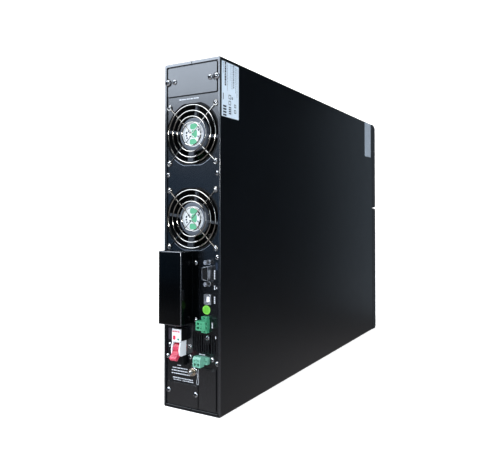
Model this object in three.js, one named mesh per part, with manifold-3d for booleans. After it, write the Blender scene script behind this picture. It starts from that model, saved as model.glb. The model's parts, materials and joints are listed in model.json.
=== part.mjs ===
// Rack/tower uninterruptible power supply, standing on its narrow side.
// Millimetres, +Z up, +Y towards the rear panel, origin at the centre of the footprint.
import * as THREE from 'three';
import { mergeVertices } from 'three/addons/utils/BufferGeometryUtils.js';
import Module from 'manifold-3d';

const wasm = await Module();
wasm.setup();

// ---- driving dimensions -------------------------------------------------------------------

const WIDTH = 86.5;            // two rack units
const HEIGHT = 438;            // the body width of a 19 inch rack unit, standing up
const DEPTH = 610;             // rear rim to bezel front
const COVER_REACH = 22.8;      // how far the terminal cover stands behind the rear rim
const SHEET = 1.2;             // sheet steel
const GAP = 0.3;               // clearance between neighbouring pieces
const BEND = 2;                // outer bend radius of the steel shells
const RIM = 3.4;               // width of the shells' rear rim
const BEZEL_DEPTH = 21.7;
const BEZEL_WALL = 2.4;
const NOTCH_Z = 259;           // the notch between the two bezel mouldings
const PANEL_Y = 1.9;           // rear panel's outer face, measured inwards from the rim
const PLATE_Y = 0.5;           // outer face of the plates that sit on the rear panel

const FAN_SIZE = 80;
const FAN_THICK = 38;
const FAN_PITCH = 71.5;
const FAN_TOPS = { upper: 92, lower: 198.4 };   // fan centres, measured down from the top
const FAN_HOLE = 41;
const FAN_FLAT = 38.9;
const FAN_BORE = 38;
const FAN_HUB = 21;
const BLADES = 7;
const BLADE_TIP = 35;

const DISPLAY_Z = 352;         // centre of the turning display
const DISPLAY_R = 34;
const BUTTON_TRAVEL = 1.2;

const LEVER_DOWN = 37;         // degrees the breaker lever points below level
const LEVER_Y = -3;
const LEVER_TOP = 360;

const MID_X = WIDTH / 2;
const REAR_Y = (DEPTH - COVER_REACH) / 2;
const FRONT_Y = REAR_Y - DEPTH;
const BODY_LENGTH = DEPTH - BEZEL_DEPTH - GAP;

const fromTop = (distance) => HEIGHT - distance;
const radians = THREE.MathUtils.degToRad;

// ---- geometry helpers ---------------------------------------------------------------------

function box(x0, x1, y0, y1, z0, z1) {
  const shape = new THREE.BoxGeometry(x1 - x0, y1 - y0, z1 - z0);
  return shape.translate((x0 + x1) / 2, (y0 + y1) / 2, (z0 + z1) / 2);
}

function discY(radius, x, z, y0, y1, sides = 24) {
  const shape = new THREE.CylinderGeometry(radius, radius, y1 - y0, sides);
  return shape.translate(0, (y0 + y1) / 2, 0).translate(x, 0, z);
}

function discX(radius, y, z, x0, x1, sides = 24) {
  const shape = new THREE.CylinderGeometry(radius, radius, x1 - x0, sides).rotateZ(Math.PI / 2);
  return shape.translate((x0 + x1) / 2, y, z);
}

function outline(points) {
  return new THREE.Shape(points.map(([a, b]) => new THREE.Vector2(a, b)));
}

function extruded(shape, length) {
  return new THREE.ExtrudeGeometry(shape, { depth: length, bevelEnabled: false, curveSegments: 6 });
}

// Outline in X and Z, extruded along Y.
function prismY(shape, y0, y1) {
  return extruded(shape, y1 - y0).rotateX(Math.PI / 2).translate(0, y1, 0);
}

// Outline in Y and Z, extruded along X.
function prismX(shape, x0, x1) {
  const turn = new THREE.Matrix4().set(0, 0, 1, 0, 1, 0, 0, 0, 0, 1, 0, 0, 0, 0, 0, 1);
  return extruded(shape, x1 - x0).applyMatrix4(turn).translate(x0, 0, 0);
}

// Round bar between two points.
function bar(start, end, radius, sides = 5) {
  const from = new THREE.Vector3(...start);
  const along = new THREE.Vector3(...end).sub(from);
  const shape = new THREE.CylinderGeometry(radius, radius, along.length(), sides);
  shape.translate(0, along.length() / 2, 0);
  const up = new THREE.Vector3(0, 1, 0);
  shape.applyQuaternion(new THREE.Quaternion().setFromUnitVectors(up, along.normalize()));
  return shape.translate(from.x, from.y, from.z);
}

function solid(geometry) {
  geometry.deleteAttribute('normal');
  geometry.deleteAttribute('uv');
  const merged = mergeVertices(geometry, 1e-4);
  return new wasm.Manifold(new wasm.Mesh({
    numProp: 3,
    vertProperties: new Float32Array(merged.attributes.position.array),
    triVerts: new Uint32Array(merged.index.array),
  }));
}

function toGeometry(manifold) {
  const mesh = manifold.getMesh();
  const geometry = new THREE.BufferGeometry();
  geometry.setAttribute('position', new THREE.BufferAttribute(new Float32Array(mesh.vertProperties), 3));
  geometry.setIndex(new THREE.BufferAttribute(new Uint32Array(mesh.triVerts), 1));
  geometry.computeVertexNormals();
  return geometry;
}

function joinSolids(shapes) {
  return shapes.map(solid).reduce((sum, next) => sum.add(next));
}

function join(...shapes) {
  return toGeometry(joinSolids(shapes));
}

// The first list joined, with every shape of the second list cut away.
function carve(bodies, cutters) {
  return toGeometry(joinSolids(bodies).subtract(joinSolids(cutters)));
}

const FINISHES = {
  steel: { color: 0x1b1d20, roughness: 0.55, metalness: 0.3 },
  plate: { color: 0x2c2e33, roughness: 0.5, metalness: 0.3 },
  zinc: { color: 0xc9ccd0, roughness: 0.3, metalness: 0.9 },
  nickel: { color: 0xd8dadc, roughness: 0.2, metalness: 1 },
  brass: { color: 0xc8a878, roughness: 0.3, metalness: 0.9 },
  aluminium: { color: 0xb5b8bc, roughness: 0.4, metalness: 0.9 },
  bezel: { color: 0x17181a, roughness: 0.45, metalness: 0 },
  black: { color: 0x0d0e10, roughness: 0.5, metalness: 0 },
  white: { color: 0xe8eaec, roughness: 0.4, metalness: 0 },
  red: { color: 0xd81f3a, roughness: 0.35, metalness: 0 },
  green: { color: 0x2c9a5a, roughness: 0.4, metalness: 0 },
  mint: { color: 0x6fc4a0, roughness: 0.4, metalness: 0 },
  board: { color: 0x14512f, roughness: 0.5, metalness: 0 },
  copper: { color: 0xb46a3a, roughness: 0.35, metalness: 0.8 },
  sleeve: { color: 0x22303f, roughness: 0.4, metalness: 0 },
  lcd: { color: 0x27405e, roughness: 0.2, metalness: 0 },
  clear: { color: 0x3a4046, roughness: 0.1, metalness: 0 },
  rubber: { color: 0x3a3c40, roughness: 0.7, metalness: 0 },
  ribbon: { color: 0xa7a9ac, roughness: 0.6, metalness: 0 },
};

function node(name, finish, geometry) {
  const mesh = new THREE.Mesh(geometry, new THREE.MeshStandardMaterial(FINISHES[finish]));
  mesh.name = name;
  return mesh;
}

// Rear frame: X from the left edge as seen from behind, Y inwards from the rim, Z up.
const rear = new THREE.Group();
rear.position.set(WIDTH / 2, REAR_Y, 0);
rear.rotation.z = Math.PI;

// Front frame: X from the left edge as seen from the front, Y inwards, Z up.
const front = new THREE.Group();
front.position.set(-WIDTH / 2, FRONT_Y, 0);

// ---- chassis ------------------------------------------------------------------------------

// Half of the case: one large side with the halves of the top and bottom that fold from it.
function shellOutline() {
  const reach = MID_X - GAP / 2;
  const shape = new THREE.Shape();
  shape.moveTo(reach, 0);
  shape.lineTo(reach, SHEET);
  shape.lineTo(SHEET, SHEET);
  shape.lineTo(SHEET, HEIGHT - SHEET);
  shape.lineTo(reach, HEIGHT - SHEET);
  shape.lineTo(reach, HEIGHT);
  shape.lineTo(BEND, HEIGHT);
  shape.absarc(BEND, HEIGHT - BEND, BEND, Math.PI / 2, Math.PI, false);
  shape.lineTo(0, BEND);
  shape.absarc(BEND, BEND, BEND, Math.PI, Math.PI * 1.5, false);
  return shape;
}

function halfShell() {
  const reach = MID_X - GAP / 2;
  return joinSolids([
    prismY(shellOutline(), 0, BODY_LENGTH),
    box(0.6, RIM, 0, SHEET, 1, HEIGHT - 1),
    box(1, reach, 0, SHEET, 0.6, RIM + 0.6),
    box(1, reach, 0, SHEET, HEIGHT - RIM - 0.6, HEIGHT - 0.6),
  ]);
}

function mirroredShell() {
  const shape = toGeometry(halfShell());
  return shape.rotateZ(Math.PI).translate(WIDTH, BODY_LENGTH, 0);
}

// The second half is the first one turned about the vertical, so its rim is put on again.
function coverShell() {
  const turned = solid(mirroredShell());
  const rimAtFront = box(MID_X, WIDTH - SHEET - 0.01, BODY_LENGTH - SHEET, BODY_LENGTH + 1,
    SHEET + 0.01, HEIGHT - SHEET - 0.01);
  const right = WIDTH - 0.6;
  const middle = MID_X + GAP / 2;
  const rim = joinSolids([
    box(WIDTH - RIM, right, 0, SHEET, 1, HEIGHT - 1),
    box(middle, WIDTH - 1, 0, SHEET, 0.6, RIM + 0.6),
    box(middle, WIDTH - 1, 0, SHEET, HEIGHT - RIM - 0.6, HEIGHT - 0.6),
  ]);
  return toGeometry(turned.subtract(solid(rimAtFront)).add(rim));
}

// A round fan opening with its top and bottom cut flat.
function fanHole(top) {
  const half = Math.acos(FAN_FLAT / FAN_HOLE);
  const shape = new THREE.Shape();
  const z = fromTop(top);
  shape.absarc(MID_X, z, FAN_HOLE, half - Math.PI / 2, Math.PI / 2 - half, false);
  shape.absarc(MID_X, z, FAN_HOLE, Math.PI / 2 + half, Math.PI * 1.5 - half, false);
  return new THREE.ExtrudeGeometry(shape, { depth: 6, bevelEnabled: false, curveSegments: 14 })
    .rotateX(Math.PI / 2).translate(0, 6, 0);
}

// Outline of the nine-way connector: a slanted box, wide side towards larger X.
function serialOutline(grow) {
  const low = fromTop(273.8) - grow;
  const high = fromTop(255.8) + grow;
  const slant = 1.6;
  return outline([
    [63.9 - grow, low + slant], [72.9 + grow, low], [72.9 + grow, high], [63.9 - grow, high - slant],
  ]);
}

const VENTS = [
  { from: 44.5, to: 60, top: 340, bottom: 363.5 },
  { from: 61.5, to: 68.5, top: 351, bottom: 363.5 },
  { from: 70, to: 79.5, top: 340, bottom: 363.5 },
];
const VENT_PITCH = 3.4;
const VENT_WIDTH = 1.7;

function ventSlots() {
  const slots = [];
  for (const group of VENTS) {
    for (let x = group.from; x <= group.to; x += VENT_PITCH) {
      slots.push(box(x, x + VENT_WIDTH, 0, 6, fromTop(group.bottom), fromTop(group.top)));
    }
  }
  return slots;
}

// Screw sets: centres as [x, distance from the top], head radius, outer end of the head.
const SCREW_TOP = 24;
const SCREWS = {
  parallel_cover_screw: { places: [[16.2, SCREW_TOP], [71.2, SCREW_TOP]], radius: 3.3, head: -1.9 },
  chassis_screw: { places: [[6.2, SCREW_TOP], [81, SCREW_TOP]], radius: 4, head: -3.1 },
  terminal_cover_screw: { places: [[49.8, 253], [49.8, 323]], radius: 3, head: -1.7 },
  lower_cover_screw: { places: [[8, 415.6], [50.3, 415.6]], radius: 3.3, head: -1.9 },
};
const SHANK = 0.45;
const SHANK_END = 6;

function screwHoles(name) {
  const { places, radius } = SCREWS[name];
  return places.map(([x, top]) => discY(radius * SHANK + GAP, x, fromTop(top), -1, SHANK_END, 8));
}

// Rectangular windows in the rear panel: x0, x1, top, bottom.
const WINDOWS = {
  parallel: [21, 66, 10, 38],
  terminals: [12.5, 42, 242, 325],
  breaker: [20.9, 35.6, 334.3, 381],
  usb: [61.4, 72.7, 290.3, 303.7],
  slot: [57, 77, 386, 428],
  blank: [14, 44, 409, 429],
};
const EPO = { x: 65.6, top: 327.3, upright: true };
const DRY = { x: 60.4, top: 371.3, upright: false };
const GROUND = { x: 47, top: 387.5 };
const JACKS = [251.5, 277.9];
const JACK_X = 68.4;

function headerCut(place) {
  const along = 12.4 / 2;
  const across = 9 / 2;
  const halfX = place.upright ? across : along;
  const halfZ = place.upright ? along : across;
  const z = fromTop(place.top);
  return box(place.x - halfX, place.x + halfX, 0, 6, z - halfZ, z + halfZ);
}

function rearPanel() {
  const sheet = box(SHEET + 0.4, WIDTH - SHEET - 0.4, PANEL_Y, PANEL_Y + SHEET,
    SHEET + 0.4, HEIGHT - SHEET - 0.4);
  const windows = Object.values(WINDOWS).map(([x0, x1, top, bottom]) => (
    box(x0, x1, 0, 6, fromTop(bottom), fromTop(top))));
  const jacks = JACKS.map((top) => discY(3.2, JACK_X, fromTop(top), 0, 6, 12));
  return carve([sheet], [
    ...windows,
    ...jacks,
    ...Object.keys(SCREWS).flatMap((name) => screwHoles(name)),
    ...ventSlots(),
    ...Object.values(FAN_TOPS).map(fanHole),
    prismY(serialOutline(0.4), 0, 6),
    headerCut(EPO),
    headerCut(DRY),
    discY(2.9, GROUND.x, fromTop(GROUND.top), 0, 6, 16),
  ]);
}

rear.add(node('base_shell', 'steel', toGeometry(halfShell())));
rear.add(node('cover_shell', 'steel', coverShell()));
rear.add(node('rear_panel', 'plate', rearPanel()));

// ---- plates on the rear panel -------------------------------------------------------------

const NOTCHES = [5.2, 80.4];

function parallelCover() {
  const plate = box(5.2, 81, PLATE_Y, PANEL_Y - GAP, fromTop(42.2), fromTop(5.6));
  const notches = NOTCHES.map((x) => discY(5.3, x, fromTop(SCREW_TOP), -1, 4, 20));
  return carve([plate], [...notches, ...screwHoles('parallel_cover_screw')]);
}

function lowerCover() {
  const plate = box(5.2, 53, PLATE_Y, PANEL_Y - GAP, fromTop(433), fromTop(404.8));
  return carve([plate], screwHoles('lower_cover_screw'));
}

function slotCover() {
  const plate = box(54.3, 79.8, PLATE_Y, PANEL_Y - GAP, fromTop(432.8), fromTop(381.3));
  const stiffener = box(57.6, 76.4, PLATE_Y + 0.3, PANEL_Y + 6, fromTop(427.4), fromTop(425.8));
  return join(plate, stiffener);
}

// Pan-head screw: domed head outside, shank inwards.
function screw(radius, x, top, headY) {
  const shank = radius * SHANK;
  const bearing = headY + radius * 0.7;
  const profile = [
    [0, headY], [radius * 0.7, headY], [radius, headY + radius * 0.35],
    [radius, bearing], [shank, bearing], [shank, SHANK_END], [0, SHANK_END],
  ].map(([r, y]) => new THREE.Vector2(r, y));
  return new THREE.LatheGeometry(profile, 12).translate(x, 0, fromTop(top));
}

rear.add(node('parallel_port_cover', 'plate', parallelCover()));
rear.add(node('lower_blank_cover', 'plate', lowerCover()));
rear.add(node('slot_cover', 'plate', slotCover()));

// ---- terminal cover and terminal block ----------------------------------------------------

const COVER = { x0: 9.6, x1: 44.6, z0: 109.6, z1: 199.8 };
const CABLE_MOUTH = { x0: 15, x1: 39, y0: -20, y1: -5 };

function terminalCover() {
  const back = PANEL_Y - GAP;
  const outer = box(COVER.x0, COVER.x1, -COVER_REACH, back, COVER.z0, COVER.z1);
  const flange = box(COVER.x1 - 1, 53.1, PLATE_Y, back, COVER.z0, COVER.z1);
  const inside = box(COVER.x0 + SHEET, COVER.x1 - SHEET, SHEET - COVER_REACH, back + 1,
    COVER.z0 + SHEET, COVER.z1 - SHEET);
  const mouth = box(CABLE_MOUTH.x0, CABLE_MOUTH.x1, CABLE_MOUTH.y0, CABLE_MOUTH.y1,
    COVER.z0 - 1, COVER.z0 + 3);
  return carve([outer, flange], [inside, mouth, ...screwHoles('terminal_cover_screw')]);
}

const POLES = 6;
const POLE_PITCH = 11.6;

function terminalBlock() {
  const low = fromTop(323);
  const high = low + POLES * POLE_PITCH + 2;
  const pieces = [box(13.6, 41, 0, 16, low, high)];
  for (let i = 0; i <= POLES; i += 1) {
    const z = low + i * POLE_PITCH;
    pieces.push(box(13.6, 41, -6, 1, z, z + 2));
  }
  for (let i = 0; i < POLES; i += 1) {
    const z = low + 1 + (i + 0.5) * POLE_PITCH;
    pieces.push(discY(3, 21, z, -1.6, 0.4, 6), discY(3, 33.6, z, -1.6, 0.4, 6));
  }
  return join(...pieces);
}

rear.add(node('terminal_cover', 'plate', terminalCover()));
rear.add(node('terminal_block', 'black', terminalBlock()));

// ---- screws -------------------------------------------------------------------------------

for (const [name, { places, radius, head }] of Object.entries(SCREWS)) {
  places.forEach(([x, top], i) => {
    rear.add(node(`${name}_${i + 1}`, 'zinc', screw(radius, x, top, head)));
  });
}

// ---- fans ---------------------------------------------------------------------------------

const FAN_FRONT = PANEL_Y + SHEET + GAP;
const HUB_Y = FAN_FRONT + 6;

function fanFrame() {
  const half = FAN_SIZE / 2 - 0.2;
  const end = FAN_FRONT + FAN_THICK;
  const holes = [-1, 1].flatMap((a) => [-1, 1].map((b) => (
    discY(2.2, a * FAN_PITCH / 2, b * FAN_PITCH / 2, FAN_FRONT - 1, end + 1, 8))));
  const waist = [-1, 1].flatMap((a) => [
    box(a * half - 2.4, a * half + 2.4, FAN_FRONT + 6, end - 6, -28, 28),
    box(-28, 28, FAN_FRONT + 6, end - 6, a * half - 2.4, a * half + 2.4),
  ]);
  const ring = joinSolids([box(-half, half, FAN_FRONT, end, -half, half)])
    .subtract(joinSolids([discY(FAN_BORE, 0, 0, FAN_FRONT - 1, end + 1, 36), ...holes]));
  const struts = [0, 1, 2, 3].map((i) => (
    box(FAN_HUB - 2, FAN_BORE + 1, FAN_FRONT, HUB_Y - 1, -1.3, 1.3).rotateY(radians(90 * i + 8))));
  const hub = discY(FAN_HUB, 0, 0, FAN_FRONT, HUB_Y, 24);
  const corners = joinSolids(waist).intersect(joinSolids([
    discY(FAN_BORE + 1.3, 0, 0, FAN_FRONT + 5, end - 5, 36)]));
  return toGeometry(ring.subtract(joinSolids(waist).subtract(corners)).add(joinSolids([hub, ...struts])));
}

const BLADE_ROOT = FAN_HUB - 2.5;

// One fan blade: a plate from hub to tip, pitched and widening outwards.
function blade(index) {
  const shape = outline([[-9, -1.6], [0, -0.4], [9, -1.6], [9, -0.2], [0, 1.1], [-9, -0.2]]);
  const length = BLADE_TIP - BLADE_ROOT;
  const plate = extruded(shape, length);
  const position = plate.attributes.position;
  for (let i = 0; i < position.count; i += 1) {
    const reach = position.getZ(i) / length;
    const pitch = radians(48 - 20 * reach);
    const across = position.getX(i) * (0.95 + 0.5 * reach);
    const thick = position.getY(i);
    position.setXYZ(i, across * Math.cos(pitch) - thick * Math.sin(pitch),
      across * Math.sin(pitch) + thick * Math.cos(pitch), position.getZ(i) + BLADE_ROOT);
  }
  return plate.rotateY((index * Math.PI * 2) / BLADES + 0.11).translate(0, HUB_Y + 13.5, 0);
}

function fanRotor() {
  const blades = Array.from({ length: BLADES }, (_, i) => blade(i));
  const hub = discY(FAN_HUB - 1, 0, 0, HUB_Y + 2 * GAP, HUB_Y + 26, 24);
  return join(hub, ...blades);
}

const WIRE = 0.85;
const RING_Y = -0.5;
const SPOKE_Y = 0.75;
const RINGS = [[36.4, 28], [29.2, 24], [22, 20], [14.6, 16]];

// Bent wire from one corner screw to the one beside it, passing close to the centre.
function spoke(side, tip, shoulder) {
  const corner = FAN_PITCH / 2 - 2.4;
  const points = [[-corner, corner], [-shoulder, shoulder + tip * 0.5], [0, tip],
    [shoulder, shoulder + tip * 0.5], [corner, corner]];
  return points.slice(1).map(([x, z], i) => (
    bar([points[i][0], SPOKE_Y, side * points[i][1]], [x, SPOKE_Y, side * z], WIRE)));
}

function fanGuard() {
  const rings = RINGS.map(([radius, steps]) => (
    new THREE.TorusGeometry(radius, WIRE, 4, steps).rotateX(Math.PI / 2).translate(0, RING_Y, 0)));
  const eyes = [-1, 1].flatMap((a) => [-1, 1].map((b) => (
    new THREE.TorusGeometry(3, WIRE, 4, 8).rotateX(Math.PI / 2)
      .translate(a * FAN_PITCH / 2, SPOKE_Y, b * FAN_PITCH / 2))));
  return join(...rings, ...eyes, ...spoke(1, 0.9, 3), ...spoke(-1, 2.6, 4.5));
}

for (const [place, top] of Object.entries(FAN_TOPS)) {
  const fan = new THREE.Group();
  fan.position.set(MID_X, 0, fromTop(top));
  fan.add(node(`fan_${place}_frame`, 'black', fanFrame()));
  fan.add(node(`fan_${place}_rotor`, 'black', fanRotor()));
  fan.add(node(`fan_${place}_guard`, 'nickel', fanGuard()));
  rear.add(fan);
}

// ---- breaker ------------------------------------------------------------------------------

const BREAKER = { x0: 21.5, x1: 35, face: -10.8 };

function breakerCase() {
  const deep = box(19.4, 36.9, PANEL_Y + SHEET + GAP, 66, fromTop(398), fromTop(326));
  const upper = box(21.7, 34.8, -8.6, 8, fromTop(349.5), fromTop(335.4));
  const lower = box(21.7, 34.8, -4.5, 8, fromTop(380.4), fromTop(369.4));
  const pocket = discX(9, LEVER_Y, fromTop(LEVER_TOP), 20, 38, 28);
  const swing = box(18, 39, -12, 1.5, fromTop(369.1), fromTop(350));
  return carve([deep, upper, lower], [pocket, swing]);
}

function breakerFace() {
  const label = box(BREAKER.x0, BREAKER.x1, BREAKER.face, -9, fromTop(351.4), fromTop(335));
  const cheeks = prismX(outline([
    [1.2, fromTop(368.4)], [-8.6, fromTop(368.6)], [-12.4, fromTop(366.6)], [-12.8, fromTop(360)],
    [BREAKER.face, fromTop(353.4)], [BREAKER.face, fromTop(350.2)], [1.2, fromTop(350.2)],
  ].reverse()), BREAKER.x0, BREAKER.x1);
  const slot = box(23.1, 33.4, -14, 3, fromTop(371), fromTop(351.2));
  return carve([label, cheeks], [slot]);
}

// A drum on its pivot with a handle that points outwards and down.
function breakerLever() {
  const handle = prismX(outline([
    [0, -3.4], [0, 3.4], [-9, 3.2], [-17.6, 2], [-18.4, 1], [-18.4, -2], [-17.4, -3.6], [-9, -2.6],
  ]), -5, 5);
  handle.rotateX(radians(LEVER_DOWN));
  return join(discX(8.2, 0, 0, -5, 5, 28), handle);
}

rear.add(node('breaker_case', 'black', breakerCase()));
rear.add(node('breaker_face', 'white', breakerFace()));
const lever = node('breaker_lever', 'red', breakerLever());
lever.position.set(28.25, LEVER_Y, fromTop(LEVER_TOP));
rear.add(lever);

// ---- connectors ---------------------------------------------------------------------------

const SERIAL_Y = -6.8;

function serialShell() {
  const tube = joinSolids([prismY(serialOutline(0), SERIAL_Y, 4.4)])
    .subtract(joinSolids([prismY(serialOutline(-0.5), SERIAL_Y - 1, 5)]));
  const flange = joinSolids([box(62.2, 74.6, 3.5, 4.4, fromTop(281), fromTop(248.4))])
    .subtract(joinSolids([prismY(serialOutline(-0.5), 3, 5)]));
  const jacks = joinSolids(JACKS.map((top) => (
    discY(2.8, JACK_X, fromTop(top), -6.3, 4, 6))));
  return toGeometry(tube.add(flange).add(jacks));
}

// Insulator with its nine contact holes in two rows.
function serialInsert() {
  const middle = (fromTop(255.8) + fromTop(273.8)) / 2;
  const holes = [];
  for (let i = 0; i < 5; i += 1) {
    holes.push(discY(0.55, 69.9, middle + (i - 2) * 2.76, SERIAL_Y - 1, SERIAL_Y + 4, 6));
  }
  for (let i = 0; i < 4; i += 1) {
    holes.push(discY(0.55, 67, middle + (i - 1.5) * 2.76, SERIAL_Y - 1, SERIAL_Y + 4, 6));
  }
  return carve([prismY(serialOutline(-0.8), SERIAL_Y + 0.5, 13)], holes);
}

function usbShell() {
  const body = box(61.8, 72.3, 0.6, 17, fromTop(303.2), fromTop(290.8));
  const socket = box(62.5, 71.6, 0, 15.8, fromTop(302.5), fromTop(291.5));
  return carve([body], [socket]);
}

function usbTongue() {
  const tongue = box(65, 69.8, 1.8, 15.4, fromTop(300.2), fromTop(293.8));
  return join(tongue);
}

rear.add(node('serial_port_shell', 'nickel', serialShell()));
rear.add(node('serial_port_insert', 'black', serialInsert()));
rear.add(node('usb_port_shell', 'nickel', usbShell()));
rear.add(node('usb_port_tongue', 'white', usbTongue()));

// Two-way pluggable terminal: poles run along X, wires enter the lower half of the plug.
const HEADER_FRONT = -4;
const PLUG_FRONT = -12.6;

function header() {
  const flange = box(-10, 10, HEADER_FRONT, 1.4, -4.2, 4.2);
  const body = box(-5.9, 5.9, HEADER_FRONT, 11, -4.2, 4.2);
  const pocket = box(-5.2, 5.2, HEADER_FRONT - 1, 8, -3.5, 3.5);
  return carve([flange, body], [pocket]);
}

function plug() {
  const head = box(-5.6, 5.6, PLUG_FRONT, HEADER_FRONT - GAP, -6.4, 6);
  const neck = box(-4.8, 4.8, HEADER_FRONT - 1, 6, -3.1, 3.1);
  const cuts = [-2.54, 2.54].flatMap((x) => [
    box(x - 1.3, x + 1.3, PLUG_FRONT - 1, PLUG_FRONT + 6, -4.8, -1.4),
    box(x - 1.5, x + 1.5, PLUG_FRONT + 2.4, PLUG_FRONT + 5.4, 4, 7),
  ]);
  return carve([head, neck], cuts);
}

const SOCKETS = [['epo', EPO, 'green'], ['dry_contact', DRY, 'mint']];
for (const [name, place, finish] of SOCKETS) {
  const socket = new THREE.Group();
  socket.position.set(place.x, 0, fromTop(place.top));
  socket.rotation.y = place.upright ? Math.PI / 2 : 0;
  socket.add(node(`${name}_header`, finish, header()));
  socket.add(node(`${name}_plug`, finish, plug()));
  rear.add(socket);
}

function groundStud() {
  const z = fromTop(GROUND.top);
  return join(discY(4.8, GROUND.x, z, PLATE_Y, PANEL_Y - GAP, 24),
    discY(2.4, GROUND.x, z, -8.4, 14, 16),
    discY(4.2, GROUND.x, z, -1, PLATE_Y + 0.1, 6));
}

function groundNut() {
  const z = fromTop(GROUND.top);
  return carve([discY(4.9, GROUND.x, z, -3.4, -1.3, 24), discY(4.2, GROUND.x, z, -6.4, -3.3, 6)],
    [discY(2.75, GROUND.x, z, -9, 1, 16)]);
}

rear.add(node('ground_stud', 'zinc', groundStud()));
rear.add(node('ground_nut', 'brass', groundNut()));

// ---- inside -------------------------------------------------------------------------------

const BOARD = 1.6;

// Printed board parallel to the large sides, on pillars that reach to one shell.
function sideBoard(x, y0, y1, z0, z1, wallX) {
  const pillars = [];
  for (const y of [y0 + 8, y1 - 8]) {
    for (const z of [z0 + 8, z1 - 8]) {
      pillars.push(discX(3, y, z, Math.min(x + 0.2, wallX), Math.max(x + BOARD - 0.2, wallX), 8));
    }
  }
  return [box(x, x + BOARD, y0, y1, z0, z1), ...pillars];
}

const LEFT_WALL = SHEET + GAP;
const RIGHT_WALL = WIDTH - SHEET - GAP;
const FIN_COUNT = 9;

// Extruded heatsink: fins run along the airflow.
function heatsink(y0, y1, z0) {
  const pieces = [box(14, 20, y0, y1, z0, z0 + 84)];
  for (let i = 0; i < FIN_COUNT; i += 1) {
    const z = z0 + i * 10.2;
    pieces.push(box(19, 66, y0, y1, z, z + 2.4));
  }
  return join(...pieces);
}

function capacitor(y, z) {
  const profile = [[0, 0], [17.5, 0], [17.5, 46], [16, 49], [0, 49]];
  const points = profile.map(([r, h]) => new THREE.Vector2(r, h));
  return new THREE.LatheGeometry(points, 18).rotateZ(-Math.PI / 2).translate(12, y, z);
}

// Toroidal choke: bumps around the ring are its turns of wire.
function choke(y, z) {
  const ring = new THREE.TorusGeometry(24, 10, 8, 24);
  const position = ring.attributes.position;
  for (let i = 0; i < position.count; i += 1) {
    const turn = Math.round(Math.atan2(position.getY(i), position.getX(i)) / radians(15));
    const swell = turn % 2 === 0 ? 1 : 0.93;
    position.setZ(i, position.getZ(i) * swell * 1.5);
  }
  return ring.rotateY(Math.PI / 2).translate(28, y, z);
}

rear.add(node('power_board', 'board', join(...sideBoard(9.5, 60, 560, 112, 420, LEFT_WALL))));
rear.add(node('rectifier_heatsink', 'aluminium', heatsink(80, 260, 304)));
rear.add(node('inverter_heatsink', 'aluminium', heatsink(80, 260, 198)));

const CAPACITORS = [[300, 390], [340, 390], [380, 390], [420, 390]];
CAPACITORS.forEach(([y, z], i) => {
  rear.add(node(`bus_capacitor_${i + 1}`, 'sleeve', capacitor(y, z)));
});

rear.add(node('boost_choke', 'copper', choke(320, 300)));
rear.add(node('output_choke', 'copper', choke(410, 300)));

function filterBoard() {
  const [board, ...pillars] = sideBoard(9.5, 80, 330, 14, 100, LEFT_WALL);
  return join(board, ...pillars,
    box(10.8, 34, 100, 132, 26, 56),
    box(10.8, 30, 150, 176, 60, 88),
    box(10.8, 38, 200, 240, 30, 80),
    discX(9, 280, 56, 10.8, 40, 16));
}

function controlBoard() {
  const [board, ...pillars] = sideBoard(74.5, 290, 540, 40, 240, RIGHT_WALL);
  return join(board, ...pillars,
    box(71.5, 75, 340, 366, 130, 156),
    box(70, 75, 420, 470, 60, 70),
    box(66, 75, 524, 536, 130, 170));
}

function auxTransformer() {
  return join(box(12, 62, 400, 404, 40, 92), box(12, 62, 440, 444, 40, 92),
    box(18, 56, 403, 441, 44, 88), box(12, 16, 400, 444, 40, 92));
}

function commsBoard() {
  const board = box(76.2, 76.2 + BOARD, 18, 96, fromTop(344), fromTop(246));
  const pillar = discX(3, 88, fromTop(254), 77, RIGHT_WALL, 8);
  return join(board, pillar, discX(3, 88, fromTop(336), 77, RIGHT_WALL, 8),
    box(70, 76.6, 40, 58, fromTop(312), fromTop(290)));
}

rear.add(node('emi_filter_board', 'board', filterBoard()));
rear.add(node('control_board', 'board', controlBoard()));
rear.add(node('auxiliary_transformer', 'copper', auxTransformer()));
rear.add(node('comms_board', 'board', commsBoard()));

// ---- front frame and bezel ----------------------------------------------------------------

const FRAME_Y = BEZEL_DEPTH + GAP + 0.4;

function frontFrame() {
  const sheet = box(SHEET + 0.4, WIDTH - SHEET - 0.4, FRAME_Y, FRAME_Y + SHEET,
    SHEET + 0.4, HEIGHT - SHEET - 0.4);
  const openings = [];
  for (let z = 22; z < 230; z += 42) {
    openings.push(box(12, WIDTH - 12, FRAME_Y - 1, FRAME_Y + 3, z, z + 34));
  }
  openings.push(box(28, 58, FRAME_Y - 1, FRAME_Y + 3, DISPLAY_Z - 14, DISPLAY_Z + 14));
  return carve([sheet], openings);
}

// Side outlines in Y and Z: the moulding's outside, or its hollow when inset is given.
function upperOutline(inset) {
  const shape = new THREE.Shape();
  shape.moveTo(BEZEL_DEPTH + inset, NOTCH_Z + GAP / 2 + inset);
  shape.lineTo(BEZEL_DEPTH + inset, HEIGHT - inset);
  shape.lineTo(17, HEIGHT - inset);
  shape.quadraticCurveTo(3, HEIGHT - 1.5 - inset, inset, HEIGHT - 7);
  shape.lineTo(inset, NOTCH_Z + 2.2 + inset);
  shape.lineTo(17, NOTCH_Z + 0.3 + inset);
  return shape;
}

function lowerOutline(inset) {
  const corner = 7;
  const shape = new THREE.Shape();
  shape.moveTo(BEZEL_DEPTH + inset, inset);
  shape.lineTo(BEZEL_DEPTH + inset, NOTCH_Z - GAP / 2 - inset);
  shape.lineTo(17, NOTCH_Z - 0.3 - inset);
  shape.lineTo(inset, NOTCH_Z - 2.2 - inset);
  shape.lineTo(inset, corner);
  shape.quadraticCurveTo(inset, inset, corner, inset);
  return shape;
}

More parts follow.
